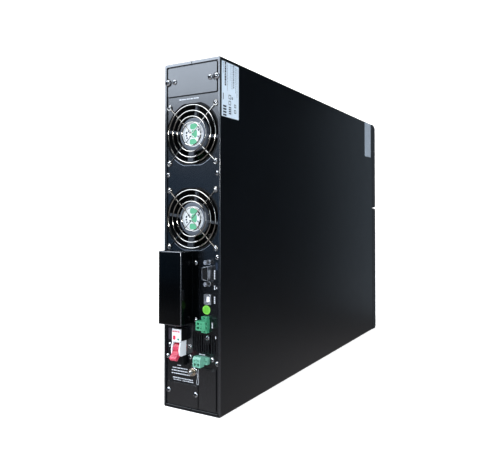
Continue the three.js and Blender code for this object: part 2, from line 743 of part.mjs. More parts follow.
function moulding(makeOutline) {
  const outer = prismX(makeOutline(0), 0, WIDTH);
  const hollow = prismX(makeOutline(BEZEL_WALL), BEZEL_WALL, WIDTH - BEZEL_WALL);
  return joinSolids([outer]).subtract(joinSolids([hollow]));
}

function upperBezel() {
  return toGeometry(moulding(upperOutline).subtract(joinSolids([
    discY(DISPLAY_R + 0.5, MID_X, DISPLAY_Z, -2, BEZEL_WALL + 2, 48)])));
}

const GRILLE = { pitch: 8.4, slot: 4.6, low: 20, high: 240, side: 10 };

function lowerBezel() {
  const slots = [];
  for (let z = GRILLE.low; z < GRILLE.high; z += GRILLE.pitch) {
    slots.push(box(GRILLE.side, WIDTH - GRILLE.side, -1, BEZEL_WALL + 1, z, z + GRILLE.slot));
  }
  return toGeometry(moulding(lowerOutline).subtract(joinSolids(slots)));
}

front.add(node('front_frame', 'plate', frontFrame()));
front.add(node('upper_bezel', 'bezel', upperBezel()));
front.add(node('lower_bezel', 'bezel', lowerBezel()));

// ---- turning display ----------------------------------------------------------------------

const display = new THREE.Group();
display.position.set(MID_X, 0, DISPLAY_Z);
const WINDOW = { halfX: 21, z0: -5, z1: 21 };
const BUTTONS = ['up', 'down', 'escape', 'enter'];
const BUTTON_PITCH = 11;
const BUTTON_Z = -15.5;
const BUTTON_HALF = { x: 4, z: 2.9 };

const buttonX = (index) => (index - 1.5) * BUTTON_PITCH;

function displayHousing() {
  const rim = joinSolids([discY(DISPLAY_R, 0, 0, 0.8, 15, 48)])
    .subtract(joinSolids([discY(DISPLAY_R - 2.4, 0, 0, 3.2, 16, 48)]));
  const holes = [box(-WINDOW.halfX, WINDOW.halfX, 0, 5, WINDOW.z0, WINDOW.z1)];
  BUTTONS.forEach((_, i) => {
    holes.push(box(buttonX(i) - BUTTON_HALF.x - 0.3, buttonX(i) + BUTTON_HALF.x + 0.3, 0, 5,
      BUTTON_Z - BUTTON_HALF.z - 0.3, BUTTON_Z + BUTTON_HALF.z + 0.3));
  });
  return toGeometry(rim.subtract(joinSolids(holes)));
}

function displayButton(index) {
  const { x, z } = BUTTON_HALF;
  const end = 8 - BUTTON_TRAVEL - GAP;
  return join(box(-x, x, 0.2, 5, -z, z), box(-x - 0.9, x + 0.9, 3.5, 4.6, -z - 0.9, z + 0.9),
    discY(1.6, 0, 0, 4, end, 10)).translate(buttonX(index), 0, BUTTON_Z);
}

display.add(node('display_housing', 'bezel', displayHousing()));
display.add(node('display_window', 'clear', box(-WINDOW.halfX + GAP, WINDOW.halfX - GAP, 1, 2.8,
  WINDOW.z0 + GAP, WINDOW.z1 - GAP)));
display.add(node('lcd_panel', 'lcd', box(-21.8, 21.8, 3.6, 6.4, -6, 21.4)));
display.add(node('display_board', 'board', discY(DISPLAY_R - 3.4, 0, 0, 8, 8 + BOARD, 32)));
BUTTONS.forEach((name, i) => {
  display.add(node(`button_${name}`, 'rubber', displayButton(i)));
});
front.add(display);

// Flat ribbon from behind the display to the control board.
function ribbon() {
  const path = new THREE.CatmullRomCurve3([
    new THREE.Vector3(MID_X, 11.5, DISPLAY_Z), new THREE.Vector3(MID_X, 26, DISPLAY_Z),
    new THREE.Vector3(MID_X - 4, 44, DISPLAY_Z - 26), new THREE.Vector3(27, 56, 250),
    new THREE.Vector3(20.6, 60, 210), new THREE.Vector3(18, 62, 182),
  ]);
  const shape = outline([[-0.5, -9], [0.5, -9], [0.5, 9], [-0.5, 9]]);
  return new THREE.ExtrudeGeometry(shape, { steps: 24, bevelEnabled: false, extrudePath: path });
}

front.add(node('display_ribbon', 'ribbon', ribbon()));

const ups = new THREE.Group();
ups.add(rear, front);
export default ups;
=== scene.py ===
"""Uninterruptible power supply: the looks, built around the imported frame.

Metres, +Z up, +Y towards the rear panel. Pieces are drawn in millimetres, most of them in one of these:
REAR has X from the left edge as seen from behind, Y inwards from the rim and Z up,
FRONT has X from the left edge as seen from the front, Y inwards from the bezel and Z up.
"""
import json
import math

import bmesh
import bpy
from mathutils import Matrix, Vector


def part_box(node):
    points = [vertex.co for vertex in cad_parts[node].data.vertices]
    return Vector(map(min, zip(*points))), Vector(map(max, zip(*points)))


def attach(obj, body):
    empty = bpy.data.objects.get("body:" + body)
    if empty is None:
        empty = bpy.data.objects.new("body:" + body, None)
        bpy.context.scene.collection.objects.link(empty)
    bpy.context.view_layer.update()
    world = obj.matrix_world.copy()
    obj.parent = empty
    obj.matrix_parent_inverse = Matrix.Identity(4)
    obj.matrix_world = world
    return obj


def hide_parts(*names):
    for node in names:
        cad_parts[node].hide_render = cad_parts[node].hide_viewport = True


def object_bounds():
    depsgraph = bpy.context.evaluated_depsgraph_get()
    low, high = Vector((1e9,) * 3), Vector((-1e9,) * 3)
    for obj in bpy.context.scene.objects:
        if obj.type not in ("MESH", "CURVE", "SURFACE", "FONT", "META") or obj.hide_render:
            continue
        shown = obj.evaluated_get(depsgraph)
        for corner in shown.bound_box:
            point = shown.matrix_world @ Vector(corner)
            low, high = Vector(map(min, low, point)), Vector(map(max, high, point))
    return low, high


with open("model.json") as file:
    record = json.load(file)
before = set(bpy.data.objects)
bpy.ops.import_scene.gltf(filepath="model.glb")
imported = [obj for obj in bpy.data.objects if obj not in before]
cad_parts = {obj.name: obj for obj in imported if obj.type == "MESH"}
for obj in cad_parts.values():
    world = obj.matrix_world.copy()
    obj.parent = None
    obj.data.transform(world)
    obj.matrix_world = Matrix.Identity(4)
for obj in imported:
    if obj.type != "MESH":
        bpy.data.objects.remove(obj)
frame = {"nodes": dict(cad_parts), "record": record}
CAD_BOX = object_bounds()

# ---- frames and driving sizes ----

MM = 0.001
LOW, HIGH = CAD_BOX
WIDTH = (HIGH.x - LOW.x) / MM
HEIGHT = HIGH.z / MM
MID = WIDTH / 2
RIM_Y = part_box("base_shell")[1].y
BODY_LENGTH = (RIM_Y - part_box("base_shell")[0].y) / MM
REAR = Matrix.Translation((HIGH.x, RIM_Y, 0)) @ Matrix.Rotation(math.pi, 4, "Z") @ Matrix.Scale(MM, 4)
FRONT = Matrix.Translation((LOW.x, LOW.y, 0)) @ Matrix.Scale(MM, 4)

SHEET = 1.2
GAP = 0.3
SEAM = 1.0                     # the open joint between the two shells
PANEL_Y = 1.9
PLATE_Y = 0.5
LABEL_ROOM = 0.12              # the large sides sit this far inside the box, so that labels fit
FAN_TOPS = {"upper": 92, "lower": 198.4}
FAN_REACH = 71.5 / 2            # from a fan's centre to its screws, along X and Z
FAN_HOLE, FAN_FLAT = 41, 38.9
BLADES = 7


def from_top(distance):
    return HEIGHT - distance


# ---- mesh helpers ----


def at(axis, u, v, t):
    """A point from two coordinates across an axis and one along it."""
    return {"x": (t, u, v), "y": (u, t, v), "z": (u, v, t)}[axis]


def skin(bm, rings, closed=False):
    """Joins rings of points into one closed surface, with a face on each open end."""
    rows = [[bm.verts.new(p) for p in ring] for ring in rings]
    count = len(rows[0])
    following = rows[1:] + rows[:1] if closed else rows[1:]
    for a, b in zip(rows, following):
        for i in range(count):
            j = (i + 1) % count
            bm.faces.new((a[i], a[j], b[j], b[i]))
    if not closed:
        bm.faces.new(rows[0])
        bm.faces.new(rows[-1])


def prism(bm, outline, a, b, axis="y"):
    skin(bm, [[at(axis, u, v, t) for u, v in outline] for t in (a, b)])


def box(bm, x0, x1, y0, y1, z0, z1):
    prism(bm, [(x0, z0), (x1, z0), (x1, z1), (x0, z1)], y0, y1)


def block(bm, x0, x1, y0, y1, top, bottom):
    """A box whose ends are distances down from the top of the case."""
    box(bm, x0, x1, y0, y1, from_top(bottom), from_top(top))


def arc(u, v, radius, start, end, steps):
    """Points on a circle, from one angle to another in degrees."""
    angles = [math.radians(start + (end - start) * i / steps) for i in range(steps + 1)]
    return [(u + radius * math.cos(a), v + radius * math.sin(a)) for a in angles]


def circle(u, v, radius, steps=32):
    return arc(u, v, radius, 0, 360, steps)[:-1]


def rounded(u0, u1, v0, v1, radius, steps=4):
    """A rectangle with round corners."""
    corners = [(u1 - radius, v0 + radius, -90), (u1 - radius, v1 - radius, 0),
               (u0 + radius, v1 - radius, 90), (u0 + radius, v0 + radius, 180)]
    return [p for u, v, a in corners for p in arc(u, v, radius, a, a + 90, steps)]


def lathe(bm, profile, centre, axis="y", steps=24):
    """A profile of (radius, place along the axis) turned about an axis through centre."""
    rings = []
    for radius, t in profile:
        outline = circle(centre[0], centre[1], max(radius, 0.002), steps)
        rings.append([at(axis, u, v, t) for u, v in outline])
    skin(bm, rings)


def tube(bm, points, radius, sides=8, closed=False):
    """Round wire along points."""
    points = [Vector(p) for p in points]
    count = len(points)
    rings, side = [], None
    for i, point in enumerate(points):
        before = points[i - 1] if i or closed else point
        after = points[(i + 1) % count] if i + 1 < count or closed else point
        along = (after - before).normalized()
        side = along.orthogonal() if side is None else side
        side = (side - along * side.dot(along)).normalized()
        across = along.cross(side)
        rings.append([point + (side * u + across * v) for u, v in circle(0, 0, radius, sides)])
    skin(bm, rings, closed)


def plate(bm, outer, holes, a, b, axis="y"):
    """A sheet with holes through it."""
    edges = []
    for loop in [outer, *holes]:
        verts = [bm.verts.new(at(axis, u, v, a)) for u, v in loop]
        edges += [bm.edges.new(pair) for pair in zip(verts, verts[1:] + verts[:1])]
    filled = bmesh.ops.triangle_fill(bm, use_beauty=True, edges=edges)
    faces = [g for g in filled["geom"] if isinstance(g, bmesh.types.BMFace)]
    grown = bmesh.ops.extrude_face_region(bm, geom=faces)
    moved = [g for g in grown["geom"] if isinstance(g, bmesh.types.BMVert)]
    bmesh.ops.translate(bm, vec=Vector(at(axis, 0, 0, b - a)), verts=moved)


def turned(bm, verts, angle, centre, axis="Y"):
    spin = Matrix.Rotation(math.radians(angle), 3, axis)
    bmesh.ops.rotate(bm, verts=verts, cent=Vector(centre), matrix=spin)


def linked(name, data):
    """A new object in the scene."""
    obj = bpy.data.objects.new(name, data)
    bpy.context.scene.collection.objects.link(obj)
    return obj


def loose(bm, name):
    """An object from a mesh, with its faces pointing out."""
    bmesh.ops.recalc_face_normals(bm, faces=bm.faces)
    mesh = bpy.data.meshes.new(name)
    bm.to_mesh(mesh)
    bm.free()
    return linked(name, mesh)


def drawing(draw):
    """Gives a function a new mesh to draw into, and returns that mesh or what it was carved to."""
    def drawn(*sizes):
        bm = bmesh.new()
        return draw(bm, *sizes) or bm
    return drawn


def single(shape, *sizes):
    """A mesh with one shape in it."""
    bm = bmesh.new()
    shape(bm, *sizes)
    return bm


def carve(bm, cutter):
    """What is left of bm once the solids in cutter are cut away."""
    target, tool = loose(bm, "target"), loose(cutter, "tool")
    cut = target.modifiers.new("cut", "BOOLEAN")
    cut.object, cut.solver, cut.operation, cut.use_self = tool, "EXACT", "DIFFERENCE", True
    result = bmesh.new()
    result.from_object(target, bpy.context.evaluated_depsgraph_get())
    for obj in (target, tool):
        mesh = obj.data
        bpy.data.objects.remove(obj)
        bpy.data.meshes.remove(mesh)
    return result


def piece(name, bm, look, nodes=(), body="chassis", space=REAR, bevel=0.0, segments=2, edge=None):
    """A finished piece: its mesh, drawn in a local frame, its look, its soft edges and its body."""
    bmesh.ops.remove_doubles(bm, verts=bm.verts, dist=1e-4)
    bm.transform(space)
    obj = loose(bm, name)
    obj.data.materials.append(look)
    obj.data.shade_smooth()
    obj.data.set_sharp_from_angle(angle=math.radians(35))
    if bevel:
        soft = obj.modifiers.new("soft edges", "BEVEL")
        soft.width, soft.segments = bevel * MM, segments
        soft.limit_method, soft.angle_limit = "ANGLE", math.radians(38)
        soft.harden_normals = True
        # The edge look, when given, goes on the bevel faces as a painted highlight along the edges.
        if edge:
            obj.data.materials.append(edge)
            soft.material = 1
    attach(obj, body)
    if nodes:
        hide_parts(*nodes)
    return obj


# ---- materials ----


class Look:
    """A Principled material whose colour, roughness and bump come from noise in object space."""

    def __init__(self, name, colour, rough, metal=0.0, specular=0.5, coat=0.0):
        self.material = bpy.data.materials.new(name)
        self.material.use_nodes = True
        self.tree = self.material.node_tree
        self.shader = self.tree.nodes["Principled BSDF"]
        self.shader.inputs["Metallic"].default_value = metal
        self.shader.inputs["Specular IOR Level"].default_value = specular
        self.shader.inputs["Coat Weight"].default_value = coat
        self.colour, self.rough = colour, rough
        self.where = self.tree.nodes.new("ShaderNodeTexCoord").outputs["Object"]

    def node(self, kind, vector=None, **values):
        """A new node with its values set, fed by a vector."""
        node = self.tree.nodes.new(f"ShaderNode{kind}")
        for socket, value in values.items():
            node.inputs[socket].default_value = value
        if vector:
            self.tree.links.new(vector, node.inputs["Vector"])
        return node

    def noise(self, size_mm, detail=2.0, factors=None):
        """Noise of a size in millimetres, stretched by factors along X, Y and Z."""
        source = self.node("Mapping", self.where, Scale=factors).outputs["Vector"] if factors else self.where
        return self.node("TexNoise", source, Scale=1 / (size_mm * MM), Detail=detail).outputs["Fac"]

    def cells(self, size_mm):
        return self.node("TexVoronoi", self.where, Scale=1 / (size_mm * MM)).outputs["Distance"]

    def waves(self, pitch_mm, direction="X"):
        node = self.node("TexWave", self.where, Scale=1 / (pitch_mm * MM) * 0.314, Distortion=0.6)
        node.bands_direction = direction
        return node.outputs["Fac"]

    def between(self, factor, low, high, start=0.3, end=0.7):
        """A value that follows a pattern from low to high."""
        ends = {"From Min": start, "From Max": end, "To Min": low, "To Max": high}
        node = self.node("MapRange", **ends)
        self.tree.links.new(factor, node.inputs["Value"])
        return node.outputs["Result"]

    def tint(self, factor, other=None, spread=0.12, start=0.3, end=0.7):
        """Colour that follows a pattern: towards other, or a little darker and lighter."""
        ramp = self.tree.nodes.new("ShaderNodeValToRGB")
        first, last = ramp.color_ramp.elements
        first.position, last.position = start, end
        dark = other or [c * (1 - spread) for c in self.colour]
        light = self.colour if other else [c * (1 + spread) for c in self.colour]
        first.color, last.color = (*dark, 1), (*light, 1)
        self.tree.links.new(factor, ramp.inputs["Fac"])
        self.tree.links.new(ramp.outputs["Color"], self.shader.inputs["Base Color"])
        return self

    def gloss(self, factor, spread=0.06):
        self.tree.links.new(self.between(factor, self.rough - spread, self.rough + spread),
                            self.shader.inputs["Roughness"])
        return self

    def bump(self, factor, depth_mm, strength=0.5):
        node = self.node("Bump", Strength=strength, Distance=depth_mm * MM)
        self.tree.links.new(factor, node.inputs["Height"])
        self.tree.links.new(node.outputs["Normal"], self.shader.inputs["Normal"])
        return self


def powder_coat(name, colour, rough, specular, coat=0.0):
    look = Look(name, colour, rough, specular=specular, coat=coat)
    look.tint(look.noise(60, 3), spread=0.1)
    look.gloss(look.noise(25, 4), 0.012)
    return look.bump(look.noise(0.7, 3), 0.02, 0.35).material


def moulded(name, colour, rough, specular=0.5, grain=0.35, depth=0.01, spread=0.08):
    look = Look(name, colour, rough, specular=specular)
    look.tint(look.noise(9, 2), spread=spread)
    look.gloss(look.noise(4, 3), 0.05)
    return look.bump(look.noise(grain, 2), depth, 0.3).material


def plated(name, colour, rough, streak=(1, 1, 1)):
    look = Look(name, colour, rough, metal=1.0)
    look.tint(look.noise(2.5, 3), spread=0.1)
    look.gloss(look.noise(1.2, 4, streak), 0.06)
    return look.bump(look.noise(0.5, 3, streak), 0.006, 0.3).material


def printed_board():
    look = Look("circuit_board", (0.012, 0.085, 0.035), 0.35)
    look.tint(look.cells(3.4), other=(0.02, 0.16, 0.06), start=0.25, end=0.32)
    look.gloss(look.noise(6), 0.05)
    return look.bump(look.cells(1.7), 0.03, 0.4).material


def winding():
    look = Look("copper_winding", (0.42, 0.15, 0.055), 0.3, metal=0.85)
    look.tint(look.waves(1.4, "DIAGONAL"), other=(0.11, 0.035, 0.014))
    look.gloss(look.noise(3), 0.06)
    return look.bump(look.waves(1.4, "DIAGONAL"), 0.3, 0.8).material


def paper(name, colour, rough=0.5):
    look = Look(name, colour, rough, specular=0.3)
    look.tint(look.noise(14, 4), spread=0.05)
    look.gloss(look.noise(6), 0.05)
    return look.bump(look.noise(0.4, 3), 0.004, 0.2).material


def liquid_crystal():
    look = Look("lcd_glass", (0.02, 0.05, 0.14), 0.12, coat=0.3)
    look.tint(look.waves(4, "Z"), spread=0.05)
    look.gloss(look.noise(5), 0.03)
    return look.bump(look.noise(3), 0.002, 0.2).material


def clear_pane():
    look = Look("clear_pane", (0.1, 0.12, 0.15), 0.06)
    look.shader.inputs["Alpha"].default_value = 0.15
    look.tint(look.noise(20), spread=0.05)
    look.gloss(look.noise(8), 0.02)
    return look.bump(look.noise(6), 0.002, 0.2).material


SIDE = powder_coat("side_paint", (0.0014, 0.0022, 0.0034), 0.3, 0.42)
PANEL = powder_coat("panel_paint", (0.0022, 0.0028, 0.0042), 0.21, 0.9)
PLATE = powder_coat("plate_paint", (0.0046, 0.005, 0.0062), 0.21, 0.98)
# The rim look is lighter than the side paint: a painted highlight on the rear rim and the upper long bends.
RIM_HIGHLIGHT = powder_coat("rim_painted_highlight", (0.005, 0.0065, 0.009), 0.2, 1.0, coat=0.6)
# The edge look is lighter than the paint it sits on: a painted highlight along bevels and bends.
EDGE_HIGHLIGHT = powder_coat("edge_painted_highlight", (0.012, 0.015, 0.02), 0.26, 1.0, coat=1.0)
COVER = powder_coat("cover_paint", (0.0005, 0.0008, 0.0011), 0.2, 0.13)
BEZEL = moulded("bezel_plastic", (0.008, 0.009, 0.0105), 0.42, 0.4, grain=0.6, depth=0.02)
BLACK = moulded("black_plastic", (0.004, 0.0045, 0.0055), 0.55, 0.22)
STRUT = moulded("fan_strut_plastic", (0.03, 0.034, 0.042), 0.4)
HUB = moulded("fan_hub_plastic", (0.085, 0.1, 0.125), 0.42)
WHITE = moulded("white_plastic", (0.72, 0.74, 0.78), 0.34, spread=0.03)
RED = moulded("red_plastic", (0.38, 0.006, 0.022), 0.3)
# The lever tip look is a lighter pink copy of the red plastic: a painted highlight on the lever's outer end.
LEVER_TIP_HIGHLIGHT = moulded("lever_tip_painted_highlight", (0.48, 0.038, 0.08), 0.3)
GREEN = moulded("green_plastic", (0.045, 0.26, 0.14), 0.34)
MINT = moulded("mint_plastic", (0.12, 0.32, 0.24), 0.34)
RUBBER = moulded("button_rubber", (0.035, 0.037, 0.042), 0.6, 0.3)
RIBBON = moulded("ribbon_plastic", (0.32, 0.33, 0.35), 0.5)
SLEEVE = moulded("capacitor_sleeve", (0.012, 0.022, 0.045), 0.35)
ZINC = plated("zinc_plate", (0.6, 0.62, 0.65), 0.22)
# The recess look is a dark metal for the faces inside each cross recess: painted shade.
RECESS_SHADE = plated("screw_recess_painted_shade", (0.05, 0.052, 0.06), 0.5)
NICKEL = plated("nickel_wire", (0.44, 0.42, 0.38), 0.12)
# The lip look is a light metal for the lower edges of the fan openings: a painted highlight.
LIP_HIGHLIGHT = plated("lip_painted_highlight", (0.3, 0.33, 0.37), 0.45)
TIN = plated("tin_plate", (0.78, 0.8, 0.84), 0.34)
BRASS = plated("brass", (0.78, 0.68, 0.56), 0.26)
FINS = plated("aluminium_fins", (0.6, 0.61, 0.63), 0.36, (1, 0.05, 1))
BOARD = printed_board()
COPPER = winding()
INK = paper("white_ink", (0.5, 0.53, 0.58))
LABEL = paper("label_film", (0.52, 0.61, 0.7), 0.42)
FAR_LABEL = paper("plain_label_film", (0.3, 0.35, 0.41), 0.42)
LABEL_MARK = paper("label_print", (0.012, 0.018, 0.03))
HUB_LABEL = paper("hub_label_film", (0.6, 0.63, 0.65), 0.4)
HUB_GREEN = paper("hub_label_green", (0.1, 0.38, 0.22))
LIME = paper("sticker_lime", (0.13, 0.45, 0.045), 0.35)
LIME_RIM = paper("sticker_rim", (0.2, 0.56, 0.08), 0.35)
LIME_DARK = paper("sticker_band", (0.1, 0.4, 0.03), 0.35)
BLUE_MARK = paper("blue_mark", (0.006, 0.014, 0.032), 0.5)
DARK_STRIP = paper("dark_strip", (0.028, 0.022, 0.032), 0.5)
RED_MARK = paper("red_mark", (0.6, 0.02, 0.06))
GREEN_MARK = paper("green_mark", (0.02, 0.22, 0.13))
ICON = paper("display_icons", (0.6, 0.72, 0.9))
LCD = liquid_crystal()
PANE = clear_pane()

# The looks that each material slot covers. CAD nodes get the first.
SLOT_LOOKS = {
    "shell_paint": [SIDE], "panel_paint": [PANEL, PLATE, COVER], "zinc_steel": [ZINC, LIP_HIGHLIGHT],
    "nickel_wire": [NICKEL, TIN], "brass_nut": [BRASS], "aluminium_fins": [FINS],
    "black_plastic": [BLACK, STRUT, HUB, LABEL_MARK, BLUE_MARK, DARK_STRIP], "bezel_plastic": [BEZEL],
    "white_plastic": [WHITE, INK, LABEL, FAR_LABEL, HUB_LABEL, HUB_GREEN], "red_plastic": [RED, RED_MARK],
    "green_plastic": [GREEN, GREEN_MARK, LIME, LIME_RIM, LIME_DARK], "mint_plastic": [MINT],
    "circuit_board": [BOARD], "copper_winding": [COPPER], "capacitor_sleeve": [SLEEVE],
    "display_glass": [LCD, ICON], "clear_window": [PANE], "button_rubber": [RUBBER],
    "ribbon_plastic": [RIBBON],
}


def dress_cad_nodes():
    """Every CAD node that stays gets the procedural look of its slot."""
    for part in frame["record"]["subparts"]:
        node = frame["nodes"][part["node"]]
        node.data.materials.clear()
        node.data.materials.append(SLOT_LOOKS[part["material_slot"]][0])


# ---- case ----


def shell_path(dx, dz, radius, steps=6):
    """Half of the case's outline, from the seam below to the seam above, inset by dx and dz."""
    reach = MID - SEAM / 2
    low, high = dz + radius, HEIGHT - dz - radius
    corner_x = dx + radius
    return [(reach, dz), *arc(corner_x, low, radius, -90, -180, steps),
            *arc(corner_x, high, radius, 180, 90, steps), (reach, HEIGHT - dz)]


@drawing
def half_shell(bm, mirror):
    """One folded shell: its section, a sheet with a turned-in rim, swept round the case."""
    side, edge = LABEL_ROOM, 1.0
    section = [(side, 0, 2, BODY_LENGTH), (side, 0, 2, edge)]
    for angle in (22.5, 45, 67.5, 90):
        a = math.radians(angle)
        inset = edge * (1 - math.cos(a))
        section.append((side + inset, inset, 2 - inset, edge * (1 - math.sin(a))))
    section += [(3.1, 3.7, 1.9, 0), (3.4, 4, 1.7, 0.3), (3.4, 4, 1.7, SHEET),
                (SHEET, SHEET, 0.8, SHEET), (SHEET, SHEET, 0.8, BODY_LENGTH)]
    paths = [shell_path(dx, dz, radius) for dx, dz, radius, _ in section]
    depths = [y for *_, y in section]
    rings = []
    for i in range(len(paths[0])):
        points = [(path[i][0], y, path[i][1]) for path, y in zip(paths, depths)]
        rings.append([(WIDTH - x if mirror else x, y, z) for x, y, z in points])
    skin(bm, rings)


def fan_hole(top):
    """A round opening with its top and bottom cut flat."""
    half = math.degrees(math.acos(FAN_FLAT / FAN_HOLE))
    z = from_top(top)
    return [p for start in (-90, 90) for p in arc(MID, z, FAN_HOLE, start + half, start + 180 - half, 24)]


VENTS = [(44.5, 60, 340, 363.5), (61.5, 68.5, 351, 363.5), (70, 79.5, 340, 363.5)]
VENT_PITCH, VENT_WIDTH = 3.4, 1.7
SERIAL = {"x0": 63.9, "x1": 72.9, "top": 255.8, "bottom": 273.8, "slant": 1.6}
EPO = {"x": 65.6, "z": from_top(327.3), "upright": True}
DRY = {"x": 60.4, "z": from_top(371.3), "upright": False}
GROUND = (47, from_top(387.5))
JACKS = [(68.4, from_top(251.5)), (68.4, from_top(277.9))]
CAD_SCREWS = [("parallel_cover_screw", [(16.2, 24), (71.2, 24)], 3.3, -1.9),
              ("chassis_screw", [(6.2, 24), (81, 24)], 4, -3.1),
              ("terminal_cover_screw", [(49.8, 253), (49.8, 323)], 3, -1.7),
              ("lower_cover_screw", [(8, 415.6), (50.3, 415.6)], 3.3, -1.9)]


@drawing
def fan_hole_lip(bm, top, width=0.7):
    """A light metal strip on the lower edge of a fan opening: a painted highlight where that edge catches
    light from above.
    """
    z = from_top(top)
    inner = [(u, max(v, z - FAN_FLAT)) for u, v in arc(MID, z, FAN_HOLE, 228, 312, 24)]
    outer = [(u, max(v, z - FAN_FLAT - width)) for u, v in arc(MID, z, FAN_HOLE + width, 312, 228, 24)]
    prism(bm, inner + outer, PANEL_Y - 0.08, PANEL_Y + 0.3)


def vent_slots():
    slots = []
    for start, end, top, bottom in VENTS:
        count = int((end - start) / VENT_PITCH) + 1
        for i in range(count):
            x = start + i * VENT_PITCH
            slots.append(rounded(x, x + VENT_WIDTH, from_top(bottom), from_top(top), 0.8, 3))
    return slots


def serial_outline(grow, radius=1.3):
    """The slanted opening of the serial port, with its corners rounded."""
    low, high = from_top(SERIAL["bottom"]) - grow, from_top(SERIAL["top"]) + grow
    x0, x1, slant = SERIAL["x0"] - grow, SERIAL["x1"] + grow, SERIAL["slant"]
    corners = [(x0, low + slant), (x1, low), (x1, high), (x0, high - slant)]
    points = []
    for i, (x, z) in enumerate(corners):
        here = Vector((x, z))
        before = (Vector(corners[i - 1]) - here).normalized() * radius
        after = (Vector(corners[(i + 1) % 4]) - here).normalized() * radius
        for k in range(5):
            t = k / 4
            points.append(tuple(here + before * (1 - t) ** 2 + after * t ** 2))
    return points


def header_cut(place):
    along, across = 6.2, 4.5
    half_x, half_z = (across, along) if place["upright"] else (along, across)
    return rounded(place["x"] - half_x, place["x"] + half_x, place["z"] - half_z, place["z"] + half_z, 0.4, 2)


def window(x0, x1, top, bottom, radius=0.6):
    return rounded(x0, x1, from_top(bottom), from_top(top), radius, 3)


@drawing
def rear_panel(bm):
    holes = [window(21, 66, 10, 38), window(12.5, 42, 242, 325), window(20.9, 35.6, 334.3, 381),
             window(61.4, 72.7, 290.3, 303.7), window(57, 77, 386, 428), window(14, 44, 409, 429)]
    holes += [fan_hole(top) for top in FAN_TOPS.values()]
    holes += vent_slots()
    holes += [serial_outline(0.4), header_cut(EPO), header_cut(DRY), circle(*GROUND, 2.9, 20)]
    holes += [circle(x, z, 3.2, 16) for x, z in JACKS]
    for _, places, radius, _ in CAD_SCREWS:
        holes += [circle(x, from_top(top), radius * 0.45 + GAP, 12) for x, top in places]
    edge = SHEET + 0.4
    plate(bm, rounded(edge, WIDTH - edge, edge, HEIGHT - edge, 1.5), holes, PANEL_Y, PANEL_Y + SHEET)


@drawing
def parallel_cover(bm):
    """The plate over the parallel ports, with a half-round notch at each end for a case screw."""
    low, high, notch_z = from_top(42.2), from_top(5.6), from_top(24)
    notch = 5.3
    outline = [*arc(79.4, low + 1.6, 1.6, -90, 0, 4), *arc(80.4, notch_z, notch, -83.5, -276.5, 18),
               *arc(79.4, high - 1.6, 1.6, 0, 90, 4), *arc(6.8, high - 1.6, 1.6, 90, 180, 4),
               *arc(5.2, notch_z, notch, 90, -90, 18), *arc(6.8, low + 1.6, 1.6, 180, 270, 4)]
    holes = [circle(x, notch_z, 1.8, 12) for x in (16.2, 71.2)]
    plate(bm, outline, holes, PLATE_Y, PANEL_Y - GAP)


@drawing
def lower_cover(bm):
    holes = [circle(x, from_top(415.6), 1.8, 12) for x in (8, 50.3)]
    plate(bm, window(5.2, 53, 404.8, 433, 1.2), holes, PLATE_Y, PANEL_Y - GAP)


@drawing
def slot_cover(bm):
    """The accessory slot's plate, with a folded lip along its top and a stiffener behind."""
    plate(bm, window(54.3, 79.8, 381.3, 432.8, 1.6), [], PLATE_Y, PANEL_Y - GAP)
    prism(bm, window(63.5, 77.5, 383.2, 384.3, 0.4), PLATE_Y - 0.35, PLATE_Y + 0.3)
    block(bm, 57.6, 76.4, PLATE_Y + 0.3, PANEL_Y + 6, 425.8, 427.4)


@drawing
def terminal_cover(bm):
    """A folded box over the terminals: open at the back, a cable mouth below, one flange."""
    x0, x1, z0, z1 = 9.6, 44.6, 109.6, 199.8
    reach = (HIGH.y - RIM_Y) / MM
    back = PANEL_Y - GAP
    bend = 0.9
    rings = []
    for end, inwards, angles in ((z0, 1, (0, 30, 60, 90)), (z1, -1, (90, 60, 30, 0))):
        for angle in angles:
            a = math.radians(angle)
            inset, z = bend * (1 - math.sin(a)), end + inwards * bend * (1 - math.cos(a))
            outline = rounded(x0 + inset, x1 - inset, inset - reach, back + 3, 1.4 - inset, 5)
            rings.append([(x, y, z) for x, y in outline])
    skin(bm, rings)
    box(bm, x1 - 0.6, 53.1, PLATE_Y, back, z0, z1)
    inside = bmesh.new()
    box(inside, x0 + SHEET, x1 - SHEET, SHEET - reach, back + 1, z0 + SHEET, z1 - SHEET)
    box(inside, x0 - 1, x1 + 0.01, back, back + 5, z0 - 1, z1 + 1)
    prism(inside, rounded(15, 39, -20, -5, 3, 4), z0 - 1, z0 + 3, "z")
    for top in (253, 323):
        prism(inside, circle(49.8, from_top(top), 1.65, 12), -1, 3)
    return carve(bm, inside)


@drawing
def terminal_block(bm):
    """Six screw terminals between partitions."""
    low, poles, pitch = from_top(323), 6, 11.6
    box(bm, 13.6, 41, 0, 16, low, low + poles * pitch + 2)
    for i in range(poles + 1):
        box(bm, 13.6, 41, -6, 1, low + i * pitch, low + i * pitch + 2)


def paint_rim_highlight(shell):
    """The rear rim and the long bends above get a lighter, glossier look than the large sides: partly real
    gloss, partly a painted highlight.
    """
    shell.data.materials.append(RIM_HIGHLIGHT)
    for face in shell.data.polygons:
        rim = face.center.y > RIM_Y - 1.1 * SHEET * MM and face.center.z > 5 * MM
        bend = min(abs(face.normal.x), abs(face.normal.z)) > 0.2 and face.center.z > HEIGHT / 2 * MM
        if rim or bend:
            face.material_index = 1


def paint_bend_highlights(cover):
    """The bends of the terminal cover get the lighter edge look: a painted highlight along its bends."""
    for face in cover.data.polygons:
        if max(abs(part) for part in face.normal) < 0.97:
            face.material_index = 1


@drawing
def plate_gap_shade(bm):
    """A thin black ring around the upper cover plate, just behind its edge: painted shade for the gap and the
    plate's shadow on the panel.
    """
    plate(bm, window(4.4, 82, 4.8, 43.4, 2), [window(7, 79, 7, 40.5, 1)], PANEL_Y - 0.25, PANEL_Y)


